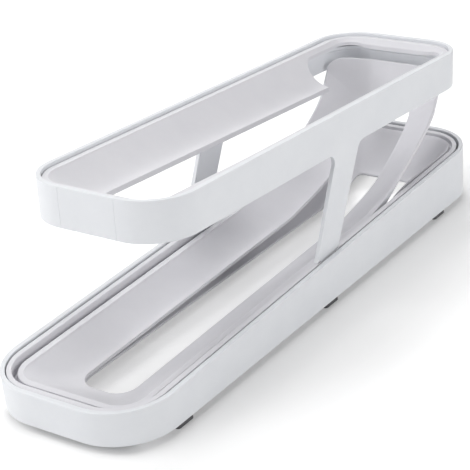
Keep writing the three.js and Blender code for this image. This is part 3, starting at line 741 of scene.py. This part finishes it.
tier_centre = Vector((0, TIER_CENTRE_Y, TIER_HEIGHT)) * MM
tier_place = Matrix.Translation(tier_centre) @ Matrix.Rotation(-tier_tilt, 4, "X")
tier_plan = Plan(tier_half_width, -TIER_LENGTH / 2, TIER_LENGTH / 2)


def on_tier(inset, drop):
    return nested(inset, TIER_CORNER_RADIUS), flat(-drop)


def to_tier(y, z):
    """A place of the whole part's y and z, in the tier's frame."""
    along, up = y - TIER_CENTRE_Y, z - TIER_HEIGHT
    cosine, sine = math.cos(tier_tilt), math.sin(tier_tilt)
    return np.array([along * cosine - up * sine, along * sine + up * cosine])


class LegEdge(NamedTuple):
    """The free edge at one end of a leg: points in side view, and at each the way into the plastic."""

    points: list
    inward: list


def unit(vector):
    return vector / np.linalg.norm(vector)


def fillet_arc(corner, along_start, along_end, radius, steps):
    """Points of the arc that rounds a corner, from one leg to the other, and its centre."""
    half_angle = math.acos(np.clip(np.dot(along_start, along_end), -1, 1)) / 2
    centre = corner + unit(along_start + along_end) * radius / math.sin(half_angle)
    start = corner + along_start * radius / math.tan(half_angle) - centre
    end = corner + along_end * radius / math.tan(half_angle) - centre
    first = math.atan2(start[1], start[0])
    turn = math.atan2(end[1], end[0]) - first
    turn = (turn + math.pi) % (2 * math.pi) - math.pi
    angles = first + turn * np.linspace(0, 1, steps + 1)
    return [centre + radius * np.array([math.cos(a), math.sin(a)]) for a in angles], centre


def leg_seat_height(y):
    """Height of a leg's lower face, over the tray's rim."""
    return rim_height(y) - TRAY_RIM_DROP + SEAT_GAP


def leg_edge(end):
    """The edge at the front, end = -1, or the rear, end = 1, from the wall's foot to the tongue's foot."""
    lean = math.tan(math.radians(LEG_LEAN))
    head_z = tier_rim_height(LEG_FOOT_Y) - TIER_WALL_HEIGHT
    head_y = LEG_FOOT_Y + (head_z - leg_seat_height(LEG_FOOT_Y)) * lean
    corner = to_tier(head_y + end * LEG_TOP_WIDTH / 2, head_z)
    corner[1] = -TIER_WALL_HEIGHT
    shoulder_y = LEG_FOOT_Y + end * LEG_FOOT_WIDTH / 2
    shoulder = to_tier(shoulder_y, leg_seat_height(shoulder_y))
    tongue_front, tongue_rear = tongue_ends()
    tongue_y = tongue_front if end < 0 else tongue_rear
    tongue_foot_z = leg_seat_height(tongue_front) - SEAT_GAP - TONGUE_DEPTH
    root = to_tier(tongue_y, leg_seat_height(tongue_y))
    foot = to_tier(tongue_y, tongue_foot_z)
    foot_middle = to_tier(LEG_FOOT_Y, tongue_foot_z)

    down = unit(shoulder - corner)
    into_leg = np.array([-down[1], down[0]]) if end < 0 else np.array([down[1], -down[0]])
    radius = LEG_FRONT_FILLET if end < 0 else LEG_REAR_FILLET
    arc, centre = fillet_arc(corner, np.array([end, 0.0]), down, radius, FILLET_STEPS)
    points = list(arc)
    inward = [unit(p - centre) for p in arc]
    for share in np.linspace(0, 1, LEG_STEPS + 1)[1:-1]:
        points.append(lerp(arc[-1], shoulder, share))
        inward.append(into_leg)
    under = unit(root - shoulder)
    above = np.array([0.0, 1.0])
    points.append(shoulder)
    inward.append(mitre(into_leg, above))
    into_tongue = np.array([-end, 0.0])
    points.append(root)
    inward.append(mitre(above, into_tongue))
    tongue_arc, tongue_centre = fillet_arc(
        foot, unit(root - foot), unit(foot_middle - foot), TONGUE_CORNER_RADIUS, EDGE_STEPS
    )
    points.extend(tongue_arc)
    inward.extend(unit(tongue_centre - p) for p in tongue_arc)
    return LegEdge(points, inward)


def mitre(a, b):
    """The way from a corner to the corner of its inner line, for two inward directions."""
    middle = unit(a + b)
    return middle / np.dot(middle, a)


def lower_band():
    """Section round the wall's lower edge, inner face to outer face, as insets and heights over its foot."""
    outer_inset = TIER_DRAFT
    inner_inset = TIER_DRAFT + TIER_WALL
    inner = [(inner_inset - TIER_INNER_ROUND * c, TIER_INNER_ROUND * (1 - s)) for s, c in QUARTER_TURN]
    outer = [(outer_inset + TIER_FOOT_ROUND * (1 - s), TIER_FOOT_ROUND * c) for s, c in QUARTER_TURN]
    return inner + outer


def witness_lines():
    """Places across the front of the wall and depths, over the two fine witness lines of the mould."""
    profile = [
        (-WITNESS_WIDTH, 0),
        (-WITNESS_FLOOR_WIDTH, WITNESS_DEPTH),
        (WITNESS_FLOOR_WIDTH, WITNESS_DEPTH),
        (WITNESS_WIDTH, 0),
    ]
    return [(side * WITNESS_HALF_SPACING + width / 2, depth) for side in (-1, 1) for width, depth in profile]


def upper_frame():
    edges = [leg_edge(-1), leg_edge(1)]
    head_front, head_rear = (edge.points[0][0] for edge in edges)
    witness = witness_lines()
    plan = tier_plan._replace(
        side_stations=tuple(np.linspace(head_front, head_rear, LEG_COLUMNS + 1)),
        front_places=tuple(x for x, _ in witness),
    )
    rim = rounded_top(TIER_RIM_WIDTH, TIER_RIM_ROUND)
    ledge_edge = TIER_RIM_WIDTH + LEDGE_WIDTH
    ledge_under = LEDGE_DROP + LEDGE_THICKNESS
    fillet = [
        (TIER_RIM_WIDTH + LEDGE_ROUND * c, LEDGE_DROP - LEDGE_ROUND * (1 - s)) for s, c in QUARTER_TURN
    ]
    nose = [(ledge_edge - LEDGE_ROUND * (1 - s), LEDGE_DROP + LEDGE_ROUND * c) for s, c in QUARTER_TURN]
    chin = [(ledge_edge - LEDGE_ROUND * c, ledge_under - LEDGE_ROUND * (1 - s)) for s, c in QUARTER_TURN]
    band = lower_band()
    section = [
        *rim,
        *fillet,
        *nose,
        *chin,
        (TIER_RIM_WIDTH, ledge_under + LEDGE_WIDTH / 2),
        *((inset, TIER_WALL_HEIGHT - lift) for inset, lift in band),
    ]
    rails = level_rails(plan, [on_tier(inset, drop) for inset, drop in section])
    length = len(rails[0])
    outer_rails = {*range(EDGE_STEPS), *range(len(section) - EDGE_STEPS - 1, len(section))}
    for rail in outer_rails:
        for column, (_, depth) in enumerate(witness, length - len(witness)):
            rails[rail][column][1] += depth

    faces = ring_faces(len(rails), length)
    vertices = [tuple(p) for p in np.vstack(rails)]
    inner_rail = len(section) - len(band)
    outer_rail = len(section) - 1
    for side in (-1, 1):
        add_leg(vertices, faces, edges, band, side, length, inner_rail, outer_rail)
    return make_object("frame_moulding", vertices, list(faces.values()), tier_place)


def add_leg(vertices, faces, edges, band, side, length, inner_rail, outer_rail):
    """Opens the wall's lower edge over a leg's head, and grows the leg out of the opening row by row."""
    corner_count = CORNER_STEPS + 1
    count = LEG_COLUMNS + 1
    if side > 0:
        columns = range(corner_count, corner_count + count)
    else:
        left_front = 3 * corner_count + 2 * count - 1
        columns = range(left_front, left_front - count, -1)
    for rail in range(inner_rail, outer_rail):
        for a, b in zip(columns, columns[1:]):
            del faces[rail, min(a, b)]
    between_rails = range(inner_rail + 1, outer_rail)

    def at(rail, column):
        return rail * length + column

    loop = [
        *(at(outer_rail, c) for c in columns),
        *(at(r, columns[-1]) for r in reversed(between_rails)),
        *(at(inner_rail, c) for c in reversed(columns)),
        *(at(r, columns[0]) for r in between_rails),
    ]
    for row in range(1, len(edges[0].points)):
        new_loop = []
        for point in leg_loop(edges, band, side, row):
            new_loop.append(len(vertices))
            vertices.append(point)
        for i in range(len(loop)):
            k = (i + 1) % len(loop)
            faces["leg", side, row, i] = (loop[i], loop[k], new_loop[k], new_loop[i])
        loop = new_loop
    faces["leg_foot", side] = tuple(loop)


def leg_loop(edges, band, side, row):
    """One closed line round a leg: outer face, rear edge, inner face and front edge."""
    front, rear = (
        [(inset, edge.points[row] + edge.inward[row] * lift) for inset, lift in band] for edge in edges
    )

    def as_point(inset, place):
        return side * (tier_half_width - inset), place[0], place[1]

    shares = np.linspace(0, 1, LEG_COLUMNS + 1)
    outer = [as_point(front[-1][0], lerp(front[-1][1], rear[-1][1], share)) for share in shares]
    inner = [as_point(front[0][0], lerp(front[0][1], rear[0][1], share)) for share in shares]
    rear_edge = [as_point(*section) for section in reversed(rear[1:-1])]
    front_edge = [as_point(*section) for section in front[1:-1]]
    return [*outer, *rear_edge, *reversed(inner), *front_edge]


# Upper track


def track_depth(y):
    """Depth of the slot's edge under the track's rim, which grows to the rear."""
    half = TIER_LENGTH / 2 - TRACK_SLOT_SETBACK
    return lerp(TRACK_FRONT_TROUGH_DEPTH, TRACK_REAR_TROUGH_DEPTH, clamped_share(y, -half, half))


def upper_track():
    stations = np.linspace(tier_plan.front / 2, tier_plan.rear / 2, RUN_STEPS)
    plan = tier_plan._replace(side_stations=tuple(stations))
    start = TIER_RIM_WIDTH + TRACK_GAP
    end = start + TRACK_RIM_WIDTH
    rim_foot = TRACK_RIM_DROP + TRACK_RIM_ROUND
    rim_edge = nested(end, TIER_CORNER_RADIUS)
    slot = Inset(
        tier_half_width - TRACK_SLOT_WIDTH / 2,
        TRACK_SLOT_SETBACK,
        TRACK_SLOT_SETBACK,
        TRACK_SLOT_RADIUS,
        TRACK_SLOT_RADIUS,
    )

    def level(down, under):
        """Level a share of the way from the rim down to the slot's edge, and a depth under the top face."""
        return lambda x, y: -lerp(rim_foot, TRACK_RIM_DROP + track_depth(y), down) - under

    def trough_face(slot_line, under):
        shares = trough_shares(TRACK_CURVE_POWER)
        return [(between(rim_edge, slot_line, across), level(down, under)) for across, down in shares]

    rim = [
        on_tier(start + inset, TRACK_RIM_DROP + drop)
        for inset, drop in rounded_top(TRACK_RIM_WIDTH, TRACK_RIM_ROUND)
    ]
    slot_edge = [
        (line, level(1, depth)) for line, depth in slot_section(slot, TRACK_LIP_HEIGHT, TRACK_LIP_THICKNESS)
    ]
    skirt_foot = LEDGE_DROP - SEAT_GAP
    section = [
        on_tier(start, skirt_foot),
        *rim,
        *trough_face(grown(slot, SLOT_EDGE_ROUND), 0),
        *slot_edge,
        *reversed(trough_face(grown(slot, TRACK_LIP_THICKNESS), TRACK_SHEET)),
        on_tier(start + TRACK_SKIRT, rim_foot + TRACK_SHEET),
        on_tier(start + TRACK_SKIRT, skirt_foot),
    ]
    track = ring_object("track_moulding", level_rails(plan, section), tier_place)
    cut(track, [drop_opening()])
    return track


def drop_opening():
    """The opening at the rear of the track, above the ramp."""
    rear = TIER_LENGTH / 2 - DROP_MARGIN
    plan = Plan(tier_half_width - DROP_MARGIN, rear - DROP_LENGTH, rear)
    edge = Inset(0, 0, 0, DROP_CORNER_RADIUS, DROP_CORNER_RADIUS)
    depth = TRACK_RIM_DROP + TRACK_REAR_TROUGH_DEPTH + TRACK_LIP_HEIGHT + CUT_OVERRUN
    return prism("drop", plan_line(plan, edge), -depth, 0, tier_place)


# Feet


def foot(node):
    """A rubber foot, a little wider outward than its solid: a block with a shallow recess in its sole."""
    low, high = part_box(node)
    low, high = low / MM, high / MM
    if high.x > 0:
        high.x += FOOT_SPREAD
    else:
        low.x -= FOOT_SPREAD
    middle = (low + high) / 2
    half_x, half_y = (high.x - low.x) / 2, (high.y - low.y) / 2
    plan = Plan(half_x, -half_y, half_y)
    edge = FOOT_EDGE_ROUND
    section = [
        (FOOT_TREAD_MARGIN + FOOT_TREAD_DEPTH, low.z + FOOT_TREAD_DEPTH),
        (FOOT_TREAD_MARGIN, low.z),
        *((edge * (1 - s), low.z + edge * c) for s, c in QUARTER_TURN),
        *((edge * c, high.z - edge * (1 - s)) for s, c in QUARTER_TURN),
    ]
    rails = level_rails(plan, [(nested(inset, FOOT_CORNER_RADIUS), flat(z)) for inset, z in section])
    count = len(rails[0])
    faces = [face for (rail, _), face in ring_faces(len(rails), count).items() if rail < len(rails) - 1]
    faces.append(tuple(range(count)))
    faces.append(tuple(range((len(rails) - 1) * count, len(rails) * count)))
    vertices = np.vstack(rails) + (middle.x, middle.y, 0)
    return make_object(node.replace("foot", "rubber_foot"), vertices, faces)


# Materials


class Graph:
    """A short way to write a material's nodes."""

    def __init__(self, name):
        self.material = bpy.data.materials.new(name)
        self.material.use_nodes = True
        self.nodes = self.material.node_tree.nodes
        self.links = self.material.node_tree.links
        self.shader = self.nodes["Principled BSDF"]

    def feed(self, node, inputs):
        """Links a node's inputs to outputs of other nodes, or sets them to values."""
        for key, value in inputs.items():
            if isinstance(value, bpy.types.NodeSocket):
                self.links.new(value, node.inputs[key])
            else:
                node.inputs[key].default_value = value

    def add(self, kind, inputs=None, **settings):
        node = self.nodes.new(kind)
        for key, value in settings.items():
            setattr(node, key, value)
        self.feed(node, inputs or {})
        return node

    def noise(self, place, pattern):
        inputs = {
            "Vector": place,
            "Scale": pattern.scale,
            "Detail": pattern.detail,
            "Roughness": pattern.roughness,
        }
        return self.add("ShaderNodeTexNoise", inputs).outputs["Fac"]

    def ranged(self, value, source, target=(0, 1), interpolation="LINEAR"):
        """A value brought from one range to another."""
        inputs = {
            "Value": value,
            "From Min": source[0],
            "From Max": source[1],
            "To Min": target[0],
            "To Max": target[1],
        }
        return self.add("ShaderNodeMapRange", inputs, interpolation_type=interpolation).outputs["Result"]

    def math(self, operation, *values):
        return self.add("ShaderNodeMath", dict(enumerate(values)), operation=operation).outputs["Value"]

    def mix(self, share, a, b):
        """A colour between two others, each a node's output or a plain colour."""
        node = self.add("ShaderNodeMix", {"Factor": share}, data_type="RGBA")
        places = [i for i, socket in enumerate(node.inputs) if socket.type == "RGBA"]
        for place, value in zip(places, (a, b)):
            self.feed(node, {place: value if isinstance(value, bpy.types.NodeSocket) else (*value, 1)})
        return next(socket for socket in node.outputs if socket.type == "RGBA")

    def bump(self, height, strength, distance, **inputs):
        inputs = {"Height": height, "Strength": strength, "Distance": distance, **inputs}
        return self.add("ShaderNodeBump", inputs).outputs["Normal"]


class Pattern(NamedTuple):
    """A noise pattern, with its scale in cycles per metre."""

    scale: float
    detail: float
    roughness: float


# Patterns in the plastic
BLOOM = Pattern(9, 3, 0.5)
FLOW = Pattern(55, 4, 0.6)
HANDLING = Pattern(26, 5, 0.65)
GRAIN = Pattern(2600, 2, 0.5)
SPECK = Pattern(420, 1, 0.5)

# Ranges over which a pattern takes effect, and how strong it gets
BLOOM_WEIGHT = 0.6
CLOUD_RANGE = (0.55, 1.05)
SPECK_RANGE = (0.62, 0.80)
SPECK_STRENGTH = 0.35
HANDLING_RANGE = (0.35, 0.7)
HANDLING_ROUGHNESS = (-0.035, 0.05)
FLOW_STRENGTH = 0.12
FLOW_HEIGHT = 0.00018
GRAIN_STRENGTH = 0.16
GRAIN_HEIGHT = 0.00005

# Edges of the plastic: paler by a painted highlight, and a little smoother
EDGE_REACH = 0.0011
EDGE_SAMPLES = 4
EDGE_RANGE = (1.0, 0.93)
EDGE_HIGHLIGHT_GAIN = 1.03
EDGE_HIGHLIGHT_BRIGHTEST = 0.93
EDGE_HIGHLIGHT_STRENGTH = 0.5
EDGE_POLISH = 0.07

PLASTIC_IOR = 1.46
SHELL_COLOURS = ((0.80, 0.815, 0.84), (0.765, 0.78, 0.81))
SHELL_ROUGHNESS = 0.40
# Tray white, made a little darker than the shell's white as painted shade for the troughs
TRAY_SHADED_COLOURS = ((0.765, 0.76, 0.79), (0.73, 0.725, 0.76))
TRAY_ROUGHNESS = 0.42

# Rubber
DUST = Pattern(160, 4, 0.6)
PEBBLE = Pattern(2400, 3, 0.5)
DUST_RANGE = (0.35, 0.7)
DUST_ROUGH_RANGE = (0.3, 0.7)
PEBBLE_STRENGTH = 0.3
PEBBLE_HEIGHT = 0.0001
RUBBER_COLOURS = ((0.085, 0.085, 0.09), (0.15, 0.15, 0.155))
RUBBER_ROUGHNESS = (0.72, 0.9)


def plastic(name, colours, roughness):
    """Satin moulded plastic: faint cloudy shifts of tone, fine grain, a soft polish and a painted highlight
    on its edges.
    """
    graph = Graph(name)
    colour, deep_colour = colours
    place = graph.add("ShaderNodeTexCoord").outputs["Object"]
    flow = graph.noise(place, FLOW)

    bevel = graph.add("ShaderNodeBevel", {"Radius": EDGE_REACH}, samples=EDGE_SAMPLES).outputs["Normal"]
    normal = graph.add("ShaderNodeNewGeometry").outputs["Normal"]
    turned = graph.add("ShaderNodeVectorMath", {0: bevel, 1: normal}, operation="DOT_PRODUCT")
    edge = graph.ranged(turned.outputs["Value"], EDGE_RANGE)

    cloud = graph.math("MULTIPLY_ADD", graph.noise(place, BLOOM), BLOOM_WEIGHT, flow)
    shade = graph.mix(graph.ranged(cloud, CLOUD_RANGE), colour, deep_colour)
    speck = graph.ranged(graph.noise(place, SPECK), SPECK_RANGE, (0, SPECK_STRENGTH))
    dusted = graph.mix(speck, shade, deep_colour)
    # Paler colour on convex edges: a painted highlight
    painted_edge_highlight = tuple(min(c * EDGE_HIGHLIGHT_GAIN, EDGE_HIGHLIGHT_BRIGHTEST) for c in colour)

    patch = graph.ranged(graph.noise(place, HANDLING), HANDLING_RANGE, HANDLING_ROUGHNESS)
    rough = graph.math("ADD", patch, roughness)
    wave = graph.bump(flow, FLOW_STRENGTH, FLOW_HEIGHT)
    inputs = {
        # Base colour: cloudy tone and dust specks, with the painted highlight on edges
        "Base Color": graph.mix(graph.math("MULTIPLY", edge, EDGE_HIGHLIGHT_STRENGTH), dusted, painted_edge_highlight),
        "Roughness": graph.math("SUBTRACT", rough, graph.math("MULTIPLY", edge, EDGE_POLISH)),
        "Normal": graph.bump(graph.noise(place, GRAIN), GRAIN_STRENGTH, GRAIN_HEIGHT, Normal=wave),
        "IOR": PLASTIC_IOR,
    }
    graph.feed(graph.shader, inputs)
    return graph.material


def rubber(name, colours, roughness):
    """Matt grey rubber with a dusty bloom and a fine pebble."""
    graph = Graph(name)
    place = graph.add("ShaderNodeTexCoord").outputs["Object"]
    dust = graph.noise(place, DUST)
    inputs = {
        "Base Color": graph.mix(graph.ranged(dust, DUST_RANGE), *colours),
        "Roughness": graph.ranged(dust, DUST_ROUGH_RANGE, roughness),
        "Normal": graph.bump(graph.noise(place, PEBBLE), PEBBLE_STRENGTH, PEBBLE_HEIGHT),
    }
    graph.feed(graph.shader, inputs)
    return graph.material


shell_plastic = plastic("shell_satin", SHELL_COLOURS, SHELL_ROUGHNESS)
# Tray, slide and track plastic, darkened a little as painted shade
shaded_tray_plastic = plastic("tray_satin_shaded", TRAY_SHADED_COLOURS, TRAY_ROUGHNESS)
foot_rubber = rubber("foot_rubber_matt", RUBBER_COLOURS, RUBBER_ROUGHNESS)

# Pieces

dress(base_shell(), "base_shell", shell_plastic, "base")
dress(base_tray(), "base_tray", shaded_tray_plastic, "base")
dress(slide(), "slide", shaded_tray_plastic, "base")
dress(upper_frame(), "upper_frame", shell_plastic, "upper_tier")
dress(upper_track(), "upper_track", shaded_tray_plastic, "track_insert")
for node in sorted(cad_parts):
    if node.startswith("foot_"):
        dress(foot(node), node, foot_rubber, "base")

# Camera: lengths in millimetres, angles in degrees

IMAGE_SIZE = 470
FOCAL_PIXELS = 1521.4
CENTRE_PIXEL = (249.86, 161.54)
VIEW_AZIMUTH = 36.313
VIEW_ELEVATION = 22.315
VIEW_ROLL = -5.161
VIEW_DISTANCE = 862.7
VIEW_TARGET = (0, 0, 80)
SENSOR_WIDTH = 36


def add_camera():
    azimuth, elevation, roll = (math.radians(a) for a in (VIEW_AZIMUTH, VIEW_ELEVATION, VIEW_ROLL))
    back = Vector(
        (
            math.sin(azimuth) * math.cos(elevation),
            -math.cos(azimuth) * math.cos(elevation),
            math.sin(elevation),
        )
    )
    level = Vector((math.cos(azimuth), math.sin(azimuth), 0))
    upright = back.cross(level)
    right = level * math.cos(roll) + upright * math.sin(roll)
    up = upright * math.cos(roll) - level * math.sin(roll)
    camera = bpy.data.objects.new("camera", bpy.data.cameras.new("camera"))
    place = (back * VIEW_DISTANCE + Vector(VIEW_TARGET)) * MM
    camera.matrix_world = Matrix.Translation(place) @ Matrix((right, up, back)).transposed().to_4x4()
    camera.data.sensor_width = SENSOR_WIDTH
    camera.data.lens = FOCAL_PIXELS / IMAGE_SIZE * SENSOR_WIDTH
    camera.data.shift_x = (IMAGE_SIZE / 2 - CENTRE_PIXEL[0]) / IMAGE_SIZE
    camera.data.shift_y = (CENTRE_PIXEL[1] - IMAGE_SIZE / 2) / IMAGE_SIZE
    bpy.context.scene.collection.objects.link(camera)
    bpy.context.scene.camera = camera


# Floor and light


class Patch(NamedTuple):
    """A soft oval on the floor: centre and reach in metres, and the shares of its reach where it fades."""

    centre: tuple
    reach: tuple
    fade: tuple


FLOOR_HALF = 3.0
FLOOR_COLOUR = (0.80, 0.80, 0.80)
FLOOR_ROUGHNESS = 0.9
FLOOR_SPECULAR = 0.1
# Floor glow patches: the near and front patches are painted shadow beside and before the part, the slot
# patch is painted light under its rear slot
NEAR_SHADOW_PATCH = Patch((0.06, 0), (0.07, 0.27), (0.4, 1.1))
NEAR_SHADOW_GLOW = 0.165
OPEN_GLOW = 0.35
FAR_PATCH = NEAR_SHADOW_PATCH._replace(fade=(3, 9))
FAR_GLOW = 0.6
SLOT_LIGHT_PATCH = Patch((0, 0.165), (0.034, 0.05), (0.5, 1))
SLOT_LIGHT_GLOW = 0.42
FRONT_SHADOW_PATCH = Patch((0, -0.172), (0.055, 0.013), (0.5, 0.95))
FRONT_SHADOW_GLOW = -0.24


def seen_directly(graph):
    """One where the camera, or a mirror or glass in front of it, looks straight at a surface."""
    path = graph.add("ShaderNodeLightPath").outputs
    either = graph.math("MAXIMUM", path["Is Camera Ray"], path["Is Glossy Ray"])
    return graph.math("MAXIMUM", either, path["Is Transmission Ray"])


def patch_glow(graph, place, patch, inside, outside):
    """Glow that goes softly from one strength inside a patch to another outside it."""
    squares = []
    for name, middle, length in zip("XY", patch.centre, patch.reach):
        share = graph.math("DIVIDE", graph.math("SUBTRACT", place[name], middle), length)
        squares.append(graph.math("MULTIPLY", share, share))
    distance = graph.math("SQRT", graph.math("ADD", *squares))
    return graph.ranged(distance, patch.fade, (inside, outside), "SMOOTHSTEP")


def floor_glow(graph):
    """Glow of the floor: faint beside and before the part as painted shadow, fuller away from it, and fuller
    under its rear slot as painted light.
    """
    coordinates = graph.add("ShaderNodeTexCoord").outputs["Object"]
    place = graph.add("ShaderNodeSeparateXYZ", {0: coordinates}).outputs
    near_shadow = patch_glow(graph, place, NEAR_SHADOW_PATCH, NEAR_SHADOW_GLOW, OPEN_GLOW)
    far = patch_glow(graph, place, FAR_PATCH, 0, FAR_GLOW)
    # Painted light under the rear slot, and painted shadow before the front
    slot = patch_glow(graph, place, SLOT_LIGHT_PATCH, SLOT_LIGHT_GLOW, 0)
    front = patch_glow(graph, place, FRONT_SHADOW_PATCH, FRONT_SHADOW_GLOW, 0)
    return graph.math("ADD", graph.math("ADD", near_shadow, far), graph.math("ADD", slot, front))


def add_floor():
    mesh = bpy.data.meshes.new("floor")
    corners = [(x * FLOOR_HALF, y * FLOOR_HALF, 0) for x, y in ((-1, -1), (1, -1), (1, 1), (-1, 1))]
    mesh.from_pydata(corners, [], [(0, 1, 2, 3)])
    floor = bpy.data.objects.new("floor", mesh)
    bpy.context.scene.collection.objects.link(floor)
    graph = Graph("floor_paper")
    inputs = {
        "Base Color": (*FLOOR_COLOUR, 1),
        "Roughness": FLOOR_ROUGHNESS,
        "Specular IOR Level": FLOOR_SPECULAR,
    }
    graph.feed(graph.shader, inputs)
    strength = graph.math("MULTIPLY", seen_directly(graph), floor_glow(graph))
    glow = graph.add("ShaderNodeEmission", {"Color": (1, 1, 1, 1), "Strength": strength})
    total = graph.add("ShaderNodeAddShader", {0: graph.shader.outputs["BSDF"], 1: glow.outputs["Emission"]})
    graph.feed(graph.nodes["Material Output"], {"Surface": total.outputs["Shader"]})
    mesh.materials.append(graph.material)


AMBIENT_STRENGTH = 0.1


def add_world():
    world = bpy.data.worlds.new("studio")
    world.use_nodes = True
    bpy.context.scene.world = world
    nodes, links = world.node_tree.nodes, world.node_tree.links
    background = nodes["Background"]
    background.inputs["Color"].default_value = (1, 1, 1, 1)
    path = nodes.new("ShaderNodeLightPath")
    strength = nodes.new("ShaderNodeMix")
    strength.inputs["A"].default_value = AMBIENT_STRENGTH
    strength.inputs["B"].default_value = 1
    links.new(path.outputs["Is Camera Ray"], strength.inputs["Factor"])
    links.new(strength.outputs["Result"], background.inputs["Strength"])


LIGHT_TARGET = (0, 0, 0.05)
# Square soft boxes: place and side in metres, and power in watts
PANELS = {
    "overhead": ((0, 0, 1.6), 1.2, 11),
    "left_front": ((-0.9, -0.7, 1.1), 0.9, 7.1),
    "left_rear": ((-0.8, 0.8, 1.1), 0.9, 4.2),
    "back_low": ((-0.75, 1.15, 0.6), 0.9, 2.8),
    "front_fill": ((-0.5, -1.5, 0.45), 0.9, 10.2),
    "right_fill": ((1.5, 0.1, 0.5), 0.9, 11.2),
}


def add_lights():
    """Soft boxes that all face the part."""
    for name, (place, size, power) in PANELS.items():
        lamp = bpy.data.lights.new(name, "AREA")
        lamp.shape = "SQUARE"
        lamp.size = size
        lamp.energy = power
        panel = bpy.data.objects.new(name, lamp)
        panel.location = place
        panel.rotation_euler = (Vector(LIGHT_TARGET) - Vector(place)).to_track_quat("-Z", "Y").to_euler()
        bpy.context.scene.collection.objects.link(panel)


add_camera()
add_floor()
add_world()
add_lights()
bpy.context.scene.view_settings.view_transform = "Standard"
